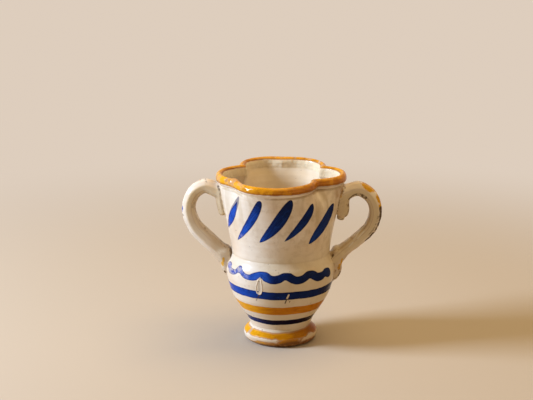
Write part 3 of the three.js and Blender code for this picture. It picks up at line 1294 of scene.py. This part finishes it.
@dataclass(frozen=True)
class TinGlaze:
    """White tin glaze over buff clay, with the shades that are painted on it.

    The gloss is the extra shine of unpainted glaze, dull_inside the extra roughness inside, lumps
    the height of clots, pooled_edge how dark ochre is along its edges and thinness how thinly it
    is laid at least. The relief is in millimetres, and glass is the glaze's index of refraction.
    """

    name: str
    shine: float = 0.05
    coat: float = 0.01
    coat_roughness: float = 0.06
    gloss: float = 0.0
    dull_inside: float = 0.0
    lumps: float = 0.0
    pooled_edge: float = 0.45
    thinness: float = 0.0
    relief: float = 0.45
    glass: float = 1.5
    glaze: Colour = (0.80, 0.69, 0.56)
    warm: Colour = (0.73, 0.57, 0.41)
    cool: Colour = (0.80, 0.74, 0.64)
    cream: Colour = (0.86, 0.71, 0.47)
    blue: Colour = (0.0025, 0.015, 0.105)
    blue_light: Colour = (0.04, 0.13, 0.56)
    blue_thin_and_lit: Colour = (0.008, 0.064, 0.40)
    blue_thick_and_shaded: Colour = (0.0015, 0.006, 0.04)
    blue_painted_shade: Colour = (0.0035, 0.0015, 0.010)
    ochre: Colour = (0.48, 0.16, 0.002)
    ochre_thin_and_lit: Colour = (0.79, 0.35, 0.008)
    ochre_thick_and_shaded: Colour = (0.30, 0.085, 0.002)
    umber: Colour = (0.13, 0.045, 0.008)
    buff: Colour = (0.66, 0.53, 0.325)
    buff_dark: Colour = (0.50, 0.37, 0.215)
    clay: Colour = (0.42, 0.235, 0.125)
    tan: Colour = (0.60, 0.38, 0.19)
    stain: Colour = (0.16, 0.085, 0.035)
    soot_and_shade: Colour = (0.075, 0.04, 0.015)

    def thinned(self, skin: Skin, glaze: Value) -> Value:
        """The glaze where it runs thinner, before its clouds: even unless a piece says more."""
        return glaze

    def stained(self, skin: Skin, glaze: Value) -> Value:
        """The glaze with its stains: clean unless a piece says more."""
        return glaze

    def paint(self, skin: Skin) -> Paint:
        """Where the paint lies: nowhere unless a piece says more."""
        return Paint(*[skin.nowhere] * 4)

    def ochre_shades(self, skin: Skin) -> Value:
        """The ochre, pale where thinner and, as painted light, on the window side; brown where it pooled.

        Args:
            skin: The finish's nodes.

        Returns:
            The ochre's colour.
        """
        # Pale ochre where it is thinner, and painted light on the window side
        thin_and_lit = skin.thin_and_lit | skin.z.under(13, 20) * 0.25 | self.thinness
        pooled = skin.mottle.over(0.5, 0.72) * (0.75 - skin.thin_and_lit * 0.4)
        return skin.coats(
            self.ochre, (thin_and_lit + skin.streaks * 1.6, self.ochre_thin_and_lit), (pooled, self.ochre_thick_and_shaded)
        )

    def washed_and_lit(self, skin: Skin) -> Value:
        """How thinly the blue was laid on, with painted light on the window side, about 0 to 1."""
        brush = (skin.bristles(0.05, 0.8, 0.0, 0.65) - 0.5) * skin.z.over(86, 90)
        return skin.thin_and_lit * 0.9 + skin.streaks * 0.5 + brush * (1 - skin.z.over(100, 122) * 0.7) * 2.4

    def blue_shades(self, skin: Skin, paint: Paint) -> Value:
        """The blue, light where thinner and, as painted light, on the window side; dark in its mottles."""
        thick = skin.mottle.over(0.42, 0.66)
        return skin.coats(self.blue, (thick, self.blue_thick_and_shaded), (self.washed_and_lit(skin), self.blue_thin_and_lit))

    def build(self) -> bpy.types.Material:
        """Makes the material.

        Returns:
            The finished material.
        """
        skin = Skin(self.name)
        paint = self.paint(skin)
        blue, ochre, bare = paint.blue, paint.ochre, paint.bare
        pits = skin.spots(330, 0.16) * skin.noise(60).over(0.58, 0.66)
        specks = skin.spots(190, 0.1) * skin.noise(75, detail=1).over(0.62, 0.68)
        gritty = skin.noise(900, detail=4, rough=0.7)
        even = skin.coats(self.glaze, (skin.cloudy.over(0.35, 0.75), self.warm))
        clouded = skin.coats(
            self.thinned(skin, even),
            (skin.noise(14, detail=2).over(0.5, 0.8) * 0.8, self.cool),
            (skin.fine.over(0.55, 0.85) * 0.16, self.warm),
        )
        raw = skin.coats(
            self.clay,
            (gritty.over(0.35, 0.7), self.stain),
            (skin.noise(90).over(0.5, 0.75) * 0.35, self.warm),
        )
        colour = skin.coats(
            self.stained(skin, clouded),
            (ochre, self.ochre_shades(skin)),
            ((ochre * (1 - ochre) * 4).over(0.3, 1) * self.pooled_edge, self.ochre_thick_and_shaded),
            (blue, self.blue_shades(skin, paint)),
            (pits * (1 - blue) * 0.45, self.stain),
            (specks * (1 - blue) * 0.6, self.stain),
            (bare, raw),
            # Dark marks of dirt, and on the left strap's inner arch a painted shade
            (paint.dirt_and_shade, self.soot_and_shade),
        )
        rough = 0.06 + skin.cloudy * 0.07 + skin.fine * 0.06 + ochre * 0.03 + blue * 0.02
        rough = rough + pits * 0.3 + bare * 0.6 + skin.depth.under(1, 3) * self.dull_inside
        unpainted = (1 - blue) * (1 - ochre) * skin.outside
        relief = skin.cloudy * 0.5 + skin.noise(110, detail=2) * 0.24 + skin.fine * 0.03
        relief = relief + skin.noise(130, detail=2, rough=0.6) * self.lumps + blue * 0.09 + ochre * 0.07
        relief = relief - pits * 0.3 - bare * 0.25 + gritty * bare * 0.12
        surface = {
            "Base Color": colour,
            "Roughness": rough,
            "IOR": self.glass,
            "Specular IOR Level": self.shine,
            "Coat Weight": (1 - bare) * (unpainted * self.gloss + self.coat),
            "Coat Roughness": self.coat_roughness,
            "Coat IOR": self.glass,
        }
        return skin.finish(surface, relief, self.relief * MM)


@dataclass(frozen=True)
class BodyGlaze(TinGlaze):
    """The glaze of foot, bowl and neck, with bands, a wavy line and brush strokes."""

    name: str = "painted_glaze"
    coat_roughness: float = 0.4
    gloss: float = 0.4
    dull_inside: float = 0.26

    def stained(self, skin: Skin, glaze: Value) -> Value:
        """Runs in the collar's glaze, with painted shade in its creases and low on the foot.

        Args:
            skin: The finish's nodes.
            glaze: The glaze's colour so far.

        Returns:
            The stained glaze.
        """
        z, azimuth, outside = skin.z, skin.azimuth, skin.outside
        broken = skin.noise(95, detail=3, rough=0.6)
        runs = skin.turned_noise(0.12, 0.022, 7.0, detail=3)
        rings = skin.turned_noise(0.012, 0.42, 2.0, detail=4, rough=0.6)
        stained = (runs + skin.noise(70, detail=4, rough=0.6) * 0.5).over(0.66, 0.98) * z.over(74, 112)
        right = azimuth.within(-78, -8, 12) * 0.4 + 0.4
        aged = azimuth.within(-112, 10, 22) * z.under(72, 96)
        low = azimuth.within(-110, -10, 20) * z.under(56, 72) * z.over(14, 26)
        blotches = skin.noise(170, detail=5, rough=0.65).over(0.47, 0.68) * azimuth.within(-122, -8, 14)
        # Painted shade low on the foot, from the front left round to the right
        low_shade = azimuth.within(-152, 4, 12) * z.under(4.5, 9)
        rooted = azimuth.within(-22, 20, 5) * z.over(114, 124)
        browned = z.within(129.6, 131.2, 0.5) * azimuth.within(-106, -30, 10)
        # Painted shade in the crease under the lip, at the ledge and at the waist
        crease_shade = z.within(129.2, 131.2, 0.5) * outside * 0.75
        crease_shade = crease_shade | z.within(73.4, 75.4, 0.7) * 0.15 | z.within(13, 14.6, 0.5) * 0.35
        return skin.coats(
            glaze,
            ((1 - outside) * 0.35, self.buff),
            (stained * right * outside, self.buff_dark),
            (aged * outside * (0.25 + runs * 0.6), self.buff),
            (low * 0.3, self.buff_dark),
            (rings.over(0.5, 0.74) * 0.3, self.buff),
            (blotches * z.over(40, 100) * outside * 0.4, self.buff_dark),
            # Painted shade low on the foot
            (low_shade * outside * (0.3 + broken * 0.6), self.tan),
            (rooted * outside * broken.over(0.3, 0.6) * 0.7, self.clay),
            (browned * outside * broken.over(0.25, 0.55) * 0.6, self.clay),
            # Painted shade in the creases
            (crease_shade * broken.over(0.3, 0.6), self.buff_dark),
        )

    def paint(self, skin: Skin) -> Paint:
        """The bands, the wavy line and the strokes, less what ran off or wore away.

        Args:
            skin: The finish's nodes.

        Returns:
            The paint's masks.
        """
        z, azimuth, ragged, outside = skin.z, skin.azimuth, skin.ragged, skin.outside
        sway = skin.turned_noise(0.11, 0.03, 9.0, detail=3) - 0.5
        level = z + ragged * 0.5 + (skin.turned_noise(0.035, 0.02, 3.0, detail=2) - 0.5) * 1.6
        reach = self.wave(skin, sway)
        for height, half in BLUE_BANDS:
            reach = reach | half - abs(level - height)
        for stroke in STROKES:
            reach = reach | stroke.inside(skin) + ragged * 0.35
        dry = (DRY_STROKE.inside(skin) + ragged * 0.6).over(-0.15, 0.4)
        blue = reach.over(-0.16, 0.24) | dry * (0.5 + skin.noise(330, detail=4, rough=0.7) * 0.3)
        kept = LEFT_IN_RUN.mask(skin, azimuth, ragged, BELLY_ARC)
        blue = blue * (1 - RUN.inside(skin).over(-0.2, 0.2) * (1 - kept))
        blue = blue * (1 - PALE_NICK.mask(skin, azimuth, ragged, BELLY_ARC))
        scuffed = azimuth.within(-175, -141, 5) + azimuth.within(-141, -127, 4) * 0.6
        scuffed = scuffed * z.within(59, 75, 1) + azimuth.within(-175, -120, 8) * z.within(84, 95, 3) * 0.5
        scuffed = scuffed * (0.3 + reach.over(0.2, 1.1) * 0.7)
        blue = blue * (1 - scuffed * skin.noise(260, detail=4, rough=0.7).over(0.36, 0.6) * 0.62)
        ochre = level.within(*OCHRE_BAND, 0.35) | self.foot_ochre(skin, level, sway)
        bare = (z + ragged * 1.2 + sway * 2.4).under(0.6, 1.2)
        dirt_and_shade = skin.nowhere
        for nick in DARK_NICKS:
            dirt_and_shade = dirt_and_shade | nick.mask(skin, azimuth, ragged, BELLY_ARC) * nick.strength
        return Paint(blue * outside, ochre * outside, bare, dirt_and_shade, reach)

    def foot_ochre(self, skin: Skin, level: Value, sway: Value) -> Value:
        """The ochre round the foot: its band, the patches under it, and the smear over the ring.

        Args:
            skin: The finish's nodes.
            level: Height in millimetres, as the bands waver.
            sway: A slower unevenness, about -0.5 to 0.5.

        Returns:
            The ochre's mask.
        """
        azimuth, ragged = skin.azimuth, skin.ragged
        sinking = azimuth.within(-96, -50, 8) * 0.8 - azimuth.within(-42, -26, 6) * 1.2
        bottom = skin.z + ragged * 0.8 + sway * 3.4 + sinking
        top = level - azimuth.over(-76, -44) * 0.7 - azimuth.over(-42, -20) * 0.9
        # Painted highlight: a pale streak down the band on the front left
        glint = FOOT_GLINT.mask(skin, azimuth, ragged * 2.4, FOOT_ARC)
        patchy = skin.turned_noise(0.13, 0.22, 4.0, detail=4, rough=0.6) - 0.5
        ochre = bottom.over(7, 8.6) * top.under(10.9, 12.9) * (1 - glint * 0.62)
        for patch in FOOT_PATCHES:
            ochre = ochre | patch.mask(skin, patchy)
        smear = 2.3 + azimuth.within(-166, -18, 9) * 0.8 + azimuth.within(-134, -18, 8) * 1.7
        smear = smear + sway * 3 + ragged * 1.2 - skin.z
        return ochre | smear.over(-0.5, 1.4) * (0.85 + patchy * 1.2)

    def wave(self, skin: Skin, sway: Value) -> Value:
        """The wavy line round the shoulder, with round ends at the handles.

        Args:
            skin: The finish's nodes.
            sway: A slower unevenness, about -0.5 to 0.5.

        Returns:
            Millimetres inside the line's edge, less than 0 outside it.
        """
        turn = skin.azimuth / 360 + 0.5
        edges = []
        for knots in (WAVE_TOP, WAVE_BOTTOM):
            points = [(a / 360 + 0.5, (h - WAVE_LOW) / WAVE_SPAN) for a, h in knots]
            line = skin.make("ShaderNodeFloatCurve", {"points": points}, {"Value": turn})
            edges.append(line * WAVE_SPAN + WAVE_LOW)
        top, bottom = edges
        rise = skin.z - (top + bottom) * 0.5
        off = []
        for first, last in WAVE_ENDS:
            past = abs(skin.azimuth - (first + last) / 2) - (last - first) / 2 | 0.0
            off.append((rise * rise + past * past * BELLY_ARC**2) ** 0.5)
        return (top - bottom) * 0.5 + 0.12 + skin.ragged * 0.35 + sway * 0.4 - (off[0] & off[1])

    def ochre_shades(self, skin: Skin) -> Value:
        """The ochre, burnt towards the resting ring, and with painted shade on the foot's right.

        Args:
            skin: The finish's nodes.

        Returns:
            The ochre's colour.
        """
        azimuth = skin.azimuth
        # Partly burnt ochre, partly painted shade where the umber reaches higher on the front and right
        burnt_and_shaded = (skin.z + skin.ragged * 2 - azimuth.within(-92, -8, 14) * 3.2).under(0.8, 4.2)
        # Painted shade on the foot's right end
        shaded = azimuth.within(-40, 20, 10) * skin.z.under(14, 18)
        return skin.coats(
            super().ochre_shades(skin), (burnt_and_shaded * 0.85, self.umber), (shaded * 0.6, self.ochre_thick_and_shaded)
        )

    def blue_shades(self, skin: Skin, paint: Paint) -> Value:
        """The blue with its bristle marks, light in the strokes' feet, with painted light and shade.

        Args:
            skin: The finish's nodes.
            paint: Where the paint lies.

        Returns:
            The blue's colour.
        """
        z, azimuth, thin_and_lit, reach = skin.z, skin.azimuth, skin.thin_and_lit, paint.reach
        on_wave = z.within(57, 72, 1)
        feet = z.over(80, 86) * z.under(90, 108) * (0.42 + thin_and_lit * 0.25)
        bristles = skin.bristles(0.1, 1.5, 5.0, 0.7).over(0.46, 0.62) * z.over(86, 90)
        flecks = skin.noise(300, detail=4, rough=0.7).over(0.5, 0.72) * reach.over(0.5, 1.4)
        return skin.coats(
            self.blue,
            (skin.mottle.over(0.42, 0.66), self.blue_thick_and_shaded),
            # Lighter where thinner, and painted light on the window side, more on the wave's left
            (self.washed_and_lit(skin) + on_wave * azimuth.within(-180, -104, 10) * 0.22 + feet, self.blue_thin_and_lit),
            # Painted highlight on the wave, where the window's highlight falls on the shoulder
            (on_wave * azimuth.within(-135, -104, 8) * 0.5, self.blue_light),
            (skin.noise(190, detail=4, rough=0.65).over(0.48, 0.66) * 0.45, self.blue),
            (bristles * reach.over(0.2, 0.9) * (0.08 + thin_and_lit * 0.4), self.blue_light),
            (z.over(115, 124) * 0.65, self.blue_thick_and_shaded),
            (flecks * 0.35, self.blue_thin_and_lit),
            (reach.under(0.2, 1.3) * 0.6, self.blue_thick_and_shaded),
            # Painted shade: darker blue on the front and right, from the shoulder down
            (azimuth.within(-80, 20, 16) * z.under(70, 80) * 0.5, self.blue_thick_and_shaded),
            # Painted shade: the low band nearly black, a little less on the window side
            (z.under(25, 29) * (0.95 - thin_and_lit * 0.3), self.blue_painted_shade),
        )


@dataclass(frozen=True)
class RimGlaze(TinGlaze):
    """The thick ochre glaze over the rolled rim, worn here and there."""

    name: str = "rim_glaze"
    shine: float = 0.1
    coat: float = 0.14
    lumps: float = 3.0

    def stained(self, skin: Skin, glaze: Value) -> Value:
        """The creamy glaze inside the mouth."""
        return skin.coats(glaze, (skin.depth.under(1, 3) * 0.8, self.cream))

    def paint(self, skin: Skin) -> Paint:
        """The ochre down to the crease and a little inside; worn places, on the front left partly painted
        highlight.

        Args:
            skin: The finish's nodes.

        Returns:
            The paint's masks.
        """
        azimuth, ragged = skin.azimuth, skin.ragged
        sway = skin.noise(1, skin.vector(azimuth * 0.06, 5.0, 0.0), detail=3) - 0.5
        edge = skin.z + ragged * 0.9 + sway * 1.8
        inward = skin.depth + ragged * 0.2 + sway * 0.5
        # Worn places in the ochre; the fainter ones on the front left are partly a painted highlight
        worn = azimuth.within(-176, -126, 6) * 0.4 | azimuth.within(70, 92, 7) | azimuth.within(34, 64, 8)
        worn = worn * skin.noise(150, detail=4, rough=0.65).over(0.46, 0.6)
        ochre = edge.over(133.1, 134.1) * inward.over(0.35, 0.85) * (1 - worn * 0.8)
        dark = edge.within(132.4, 133.5, 0.3) * azimuth.within(-72, -4, 8) * (sway * 2 + 0.5)
        return Paint(skin.nowhere, ochre, skin.nowhere, dark * 0.6)

    def ochre_shades(self, skin: Skin) -> Value:
        """The ochre, pale on the crest, brown low and inside, partly painted light and shade, clotted
        between.

        Args:
            skin: The finish's nodes.

        Returns:
            The ochre's colour.
        """
        level = skin.z + skin.ragged
        clots = skin.noise(120, detail=4, rough=0.65)
        # Brown inside the mouth, partly painted shade, more on the left where it faces away from the window
        inward = skin.depth.under(0.7, 1.7) * (0.6 + abs(skin.azimuth).over(130, 160) * 0.35)
        return skin.coats(
            super().ochre_shades(skin),
            # Pale crest: partly thinner ochre, partly painted light
            (level.over(136.5, 139.2) * 0.6, self.ochre_thin_and_lit),
            # Brown lower edge: partly pooled ochre, partly painted shade
            (level.under(133.2, 136.2) * 0.9, self.ochre_thick_and_shaded),
            (clots.over(0.52, 0.66) * 0.45, self.ochre_thick_and_shaded),
            ((1 - clots).over(0.53, 0.66) * 0.5, self.ochre_thin_and_lit),
            (inward, self.ochre_thick_and_shaded),
        )


@dataclass(frozen=True)
class StrapGlaze(TinGlaze):
    """The thinly laid glaze of a strap, with dabs along its outer edge, stains and worn edges.

    Marks, smears and scratches are (x, z) in the handles' plane. The thin_face is how much of the
    clay's buff shows on the strap's face, and wide_edge how much wider its glazed edge is at the
    arch; lit_below and even are how much less of the buff, and of the lines in it, shows lower
    down, which is painted light.
    """

    pooled_edge: float = 0.1
    thinness: float = 0.75
    ochre: Colour = (0.5, 0.22, 0.01)
    ochre_thin_and_lit: Colour = (0.72, 0.38, 0.025)
    thin_face: float = 0.75
    wide_edge: float = 0.0
    lit_below: float = 0.0
    even: float = 0.0
    dabs: tuple[Dab, ...] = ()
    marks: tuple[Nick, ...] = ()
    smears: tuple[Nick, ...] = ()
    scratches: tuple[Nick, ...] = ()

    def thinned(self, skin: Skin, glaze: Value) -> Value:
        """The clay's buff showing through everywhere but on the outer edge, in drawn-out lines.

        Args:
            skin: The finish's nodes.
            glaze: The glaze's colour so far.

        Returns:
            The thinned glaze.
        """
        run, outer = skin.marked("run"), skin.marked("outer")
        # Painted light where a strap asks for it: its face lighter lower down, with fewer dark lines
        lower = run.over(60, 92)
        tail = abs(skin.x).under(52, 58) * skin.z.under(119, 125)
        ruts = outer.within(-0.45, -0.31, 0.05) * 0.4 + outer.within(-0.9, -0.74, 0.05) * 0.35
        lines = skin.noise(1, skin.vector(run * 0.012, outer * 2.6, skin.y * 0.16), detail=5, rough=0.6)
        lines = lines - lower * self.even
        face = (outer + run.under(22, 40) * self.wide_edge).under(0.25, 0.6)
        grain = skin.noise(650, detail=4, rough=0.7).over(0.52, 0.7)
        hairs = skin.noise(1, skin.vector(run * 0.03, outer * 7, skin.y * 0.9), detail=3)
        scratched = hairs.over(0.6, 0.66) * run.within(62, 90, 6) * abs(outer).under(0.45, 0.7) * 0.5
        for nick in self.scratches:
            scratched = scratched | nick.mask(skin, skin.x, grain * 0.3) * skin.y.under(-3, 2) * 0.8
        return skin.coats(
            glaze,
            (tail * 0.45, self.buff_dark),
            (face * (self.thin_face - lower * self.lit_below), self.buff),
            (lines.over(0.45, 0.75) * 0.4, self.buff_dark),
            (ruts * run.within(18, 98, 8) * lines.over(0.25, 0.5), self.clay),
            (grain * run.under(6, 24) * 0.5, self.buff_dark),
            (scratched, self.cool),
        )

    def paint(self, skin: Skin) -> Paint:
        """The dabs, the bare clay at roots and edges, and the dark marks.

        Args:
            skin: The finish's nodes.

        Returns:
            The paint's masks.
        """
        run, outer, root = (skin.marked(name) for name in ("run", "outer", "root"))
        patchy = skin.noise(240, detail=4, rough=0.6) - 0.5
        masks = {tint: skin.nowhere for tint in Tint}
        for dab in self.dabs:
            masks[dab.tint] |= dab.mask(run, outer, patchy)
        for smear in self.smears:
            mask = smear.mask(skin, skin.x, skin.ragged + patchy * 12) * smear.strength
            masks[Tint.OCHRE] |= mask * skin.y.under(0, 4)
        seam = root.within(0.8, 1.04, 0.06) * (patchy + 0.5).over(0.4, 0.56) * 0.55
        worn = outer.over(0.93, 1.02) * patchy.over(0.05, 0.14) * 0.7
        inner = outer.under(-0.95, -0.72) * patchy.over(0.06, 0.15) * 0.55
        broken = (patchy + 0.5).over(0.36, 0.5)
        grit = skin.noise(480, detail=4, rough=0.7).over(0.42, 0.54) * 0.65 + 0.35
        dirt_and_shade = skin.nowhere
        for nick in self.marks:
            mask = nick.mask(skin, skin.x, skin.ragged + patchy * 1.5) * nick.strength
            dirt_and_shade = dirt_and_shade | mask * broken * (grit if nick.strength < SOLID else 1)
        return Paint(masks[Tint.BLUE], masks[Tint.OCHRE], seam | worn | inner, dirt_and_shade)


LEFT_GLAZE = StrapGlaze(
    "left_handle_glaze",
    buff=(0.68, 0.49, 0.24),
    thin_face=0.8,
    # Painted light: the face lighter lower down, with fewer dark lines
    lit_below=0.65,
    even=0.3,
    dabs=(Dab(42.5, 2.8, Tint.BLUE, 0.84),),
    marks=(
        *trail((-49.8, 129), (-49.2, 127), half=0.8, strength=0.8),
        *trail((-49, 126), (-47.4, 115.3), (-45, 105.3), half=0.4, strength=0.3),
        *trail((-50.6, 105.8), (-48.6, 104.7), (-44.7, 104.4), half=0.45, strength=0.4),
        # Painted shade along the inner side of the loop's arch
        *trail((-70.6, 112), (-67.4, 118.6), (-63, 122.6), (-58, 124), half=0.9, strength=0.26),
        *trail((-41, 76), (-40, 70.5), half=0.6, strength=0.7),
        Nick((-60.5, 133.4), (-59.2, 132.5), 0.45, 0.6),
        Nick((-80, 113), (-79.6, 110), 0.4, 0.6),
        Nick((-78.8, 104.9), (-78.6, 104.2), 0.5, 0.7),
        Nick((-75.4, 97), (-75, 96.6), 0.6, 0.5),
        Nick((-70.7, 89.4), (-70.3, 89), 0.5, 0.4),
        Nick((-45.4, 58), (-45, 57), 0.7),
    ),
    smears=(Nick((-57.5, 130.5), (-53, 127), 3, 0.14), Nick((-46.2, 69.6), (-47.1, 63.3), 1.0, 0.9)),
)
RIGHT_GLAZE = StrapGlaze(
    "right_handle_glaze",
    buff=(0.69, 0.555, 0.34),
    wide_edge=0.35,
    dabs=(Dab(26.9, 5.2, Tint.OCHRE, 0.3), Dab(38.8, 5.6, Tint.OCHRE, 0.58)),
    marks=(
        *trail((81, 110.6), (81.4, 107.2), half=1.7, strength=0.95),
        *trail((80.9, 107), (80.5, 101.5), (79, 96.1), (76.5, 91.5), (73.4, 87.3), (69.4, 83.1),
               half=1.2, strength=0.95),
        *trail((78.6, 104), (77.4, 98), (75, 93), (71.5, 88.8), half=0.8, strength=0.5),
        *trail((55.6, 118.4), (58, 121), (61.5, 122.2), (65, 121.9), (68, 119.8), half=1.3, strength=0.8),
        *trail((51.4, 127.4), (48.6, 124), half=0.8, strength=0.6),
        *trail((47, 117.8), (46, 111.1), (45, 104.5), half=0.45, strength=0.6),
        *trail((54.7, 115.3), (54.2, 107.8), (51.8, 102.4), (48.2, 100.6), (44.2, 102),
               half=0.4, strength=0.55),
        *trail((40.7, 69.6), (42.6, 72.2), half=0.6, strength=0.8),
        *trail((48.8, 56.9), (46.3, 53.5), (43.1, 50.6), half=0.7),
    ),
    smears=(Nick((49.8, 67.5), (47.4, 61.2), 1.1, 0.95), Nick((49.5, 126.5), (47.6, 121.5), 0.9, 0.5)),
    scratches=(
        Nick((58.9, 84.8), (65.2, 93.2), 0.4),
        Nick((62.1, 85.6), (67.3, 91.9), 0.3),
        Nick((55.3, 79.3), (58.5, 82.7), 0.35),
    ),
)


@dataclass
class GlazeRun(Piece):
    """The raised bead of glaze round the place where a run pulled the paint away."""

    node: ClassVar[str] = ""
    stroke: Stroke = RUN
    thickness: float = 0.42
    flatness: float = 0.75
    sides: int = 8
    count: int = 26

    def build(self) -> bpy.types.Object:
        """Lays the bead on the belly.

        Returns:
            The bead's object.
        """
        outside = Bowl().outside()
        ring = []
        for azimuth, height in self.stroke.edge(self.count):
            turn = math.radians(azimuth)
            radius = float(np.interp(height, outside[:, 1], outside[:, 0]) + FORM.hand(turn, height))
            ring.append((radius * math.cos(turn), radius * math.sin(turn), height))
        line = np.array(ring)
        way = np.roll(line, -1, axis=0) - np.roll(line, 1, axis=0)
        way /= np.linalg.norm(way, axis=1, keepdims=True)
        out = line * (1, 1, 0)
        out /= np.linalg.norm(out, axis=1, keepdims=True)
        aside = np.cross(way, out)
        places, faces = [], []
        total = len(line)
        for i in range(total):
            swell = self.thickness * (1 + 0.22 * math.sin(i * 0.9) + 0.12 * math.sin(i * 2.3))
            for j in range(self.sides):
                turn = 2 * math.pi * j / self.sides
                offset = out[i] * (self.flatness * math.cos(turn)) + aside[i] * math.sin(turn)
                places.append(line[i] + swell * offset)
                k, n = (j + 1) % self.sides, (i + 1) % total
                faces.append([i * self.sides + j, n * self.sides + j, n * self.sides + k, i * self.sides + k])
        return mesh_object("glaze_run", np.array(places), faces, sharp=180)


# Studio

@dataclass(frozen=True)
class Lamp:
    """A soft square lamp that looks at the jug."""

    name: str
    place: tuple[float, float, float]
    width: float
    power: float
    colour: Colour
    aim: tuple[float, float, float] = (0, 0, 0.07)

    def build(self) -> bpy.types.Object:
        """Hangs the lamp.

        Returns:
            The lamp's object.
        """
        light = bpy.data.lights.new(self.name, "AREA")
        light.shape = "SQUARE"
        light.size = self.width
        light.energy = self.power
        light.color = self.colour
        lamp = bpy.data.objects.new(self.name, light)
        lamp.location = self.place
        lamp.rotation_euler = (Vector(self.aim) - lamp.location).to_track_quat("-Z", "Y").to_euler()
        bpy.context.scene.collection.objects.link(lamp)
        return lamp


@dataclass(frozen=True)
class Studio:
    """The camera, the pale floor that fades into a plain backdrop, the lamps and the world.

    Places and the floor's half width are in metres; the floor fades between two distances from
    the jug in millimetres.
    """

    camera_place: tuple[float, float, float] = (0.0, -1.15653, 0.41316)
    camera_pitch: float = 75.6
    lens: float = 100
    sensor: float = 36
    shift_x: float = -0.02645
    floor_half: float = 6
    fades: tuple[float, float] = (240, 680)
    pale: Colour = (0.54, 0.445, 0.34)
    shade: float = 0.93
    world: Colour = (1.0, 0.76, 0.43)
    world_level: float = 0.13
    backdrop: Colour = (0.73, 0.615, 0.51)
    lamps: tuple[Lamp, ...] = (
        Lamp("window", (-1.33, -0.15, 0.76), 0.46, 38, (0.66, 0.79, 1.0)),
        Lamp("bounce", (1.2, -0.7, 0.45), 1.0, 2.3, (1.0, 0.69, 0.35)),
        Lamp("ceiling", (0.3, 0.1, 1.35), 1.1, 13, (1.0, 0.75, 0.41)),
    )

    def camera(self) -> bpy.types.Object:
        """Sets up the camera at the photograph's angle.

        Returns:
            The camera's object.
        """
        lens = bpy.data.cameras.new("camera")
        lens.lens = self.lens
        lens.sensor_width = self.sensor
        lens.shift_x = self.shift_x
        camera = bpy.data.objects.new("camera", lens)
        camera.location = self.camera_place
        camera.rotation_euler = (math.radians(self.camera_pitch), 0, 0)
        bpy.context.scene.collection.objects.link(camera)
        bpy.context.scene.camera = camera
        return camera

    def ground(self) -> bpy.types.Object:
        """Lays the wide floor: it takes the jug's shadow, and further off it is the plain backdrop.

        Returns:
            The floor's object.
        """
        mesh = bpy.data.meshes.new("floor")
        signs = ((-1, -1), (1, -1), (1, 1), (-1, 1))
        corners = [(x * self.floor_half, y * self.floor_half, 0) for x, y in signs]
        mesh.from_pydata(corners, [], [(0, 1, 2, 3)])
        floor = bpy.data.objects.new("floor", mesh)
        bpy.context.scene.collection.objects.link(floor)
        nodes = Nodes("pale_floor")
        shaded = tuple(self.shade * part for part in self.pale)
        colour = nodes.coats(self.pale, (nodes.noise(3, detail=2) * 0.2, shaded))
        near = nodes.make("ShaderNodeBsdfPrincipled", {}, {"Base Color": colour, "Roughness": 0.85})
        far = nodes.make("ShaderNodeEmission", {}, {"Color": self.backdrop, "Strength": 1.0})
        away = ((nodes.x * nodes.x + nodes.y * nodes.y) ** 0.5).over(*self.fades)
        mask = self.seen(nodes) * away
        nodes.make_output(nodes.make("ShaderNodeMixShader", {}, {0: mask, 1: near, 2: far}))
        mesh.materials.append(nodes.material)
        return floor

    def seen(self, nodes: Nodes) -> Value:
        """1 for what the camera sees straight, by reflection or through glass, and 0 for lighting.

        Args:
            nodes: The floor's material.

        Returns:
            The mask.
        """
        straight, reflected, through = (
            nodes.make("ShaderNodeLightPath", {}, {}, f"Is {kind} Ray")
            for kind in ("Camera", "Glossy", "Transmission")
        )
        return straight | reflected | through

    def light(self) -> None:
        """Hangs the lamps and sets the world: a soft light that looks like the plain backdrop."""
        for lamp in self.lamps:
            lamp.build()
        world = bpy.data.worlds.new("soft room")
        bpy.context.scene.world = world
        world.use_nodes = True
        nodes = Nodes("room", world)
        soft = nodes.make("ShaderNodeBackground", {}, {"Color": self.world, "Strength": self.world_level})
        plain = nodes.make("ShaderNodeBackground", {}, {"Color": self.backdrop, "Strength": 1.0})
        both = nodes.make("ShaderNodeMixShader", {}, {0: self.seen(nodes), 1: soft, 2: plain})
        nodes.make_output(both, "ShaderNodeOutputWorld")


def main() -> None:
    """Builds the studio and then the jug, piece by piece, from the foot up."""
    logging.basicConfig(level=logging.INFO, format="%(message)s")
    scene = bpy.context.scene
    studio = Studio()
    studio.camera()
    studio.ground()
    studio.light()
    scene.view_settings.view_transform = "Standard"
    body = BodyGlaze().build()
    Foot().dress(body)
    Bowl().dress(body)
    Neck().dress(body)
    Lip().dress(RimGlaze().build())
    LEFT.dress(LEFT_GLAZE.build())
    RIGHT.dress(RIGHT_GLAZE.build())
    GlazeRun().dress(TinGlaze("run_glaze", shine=0.5, coat=0.4).build())


if __name__ == "__main__":
    main()
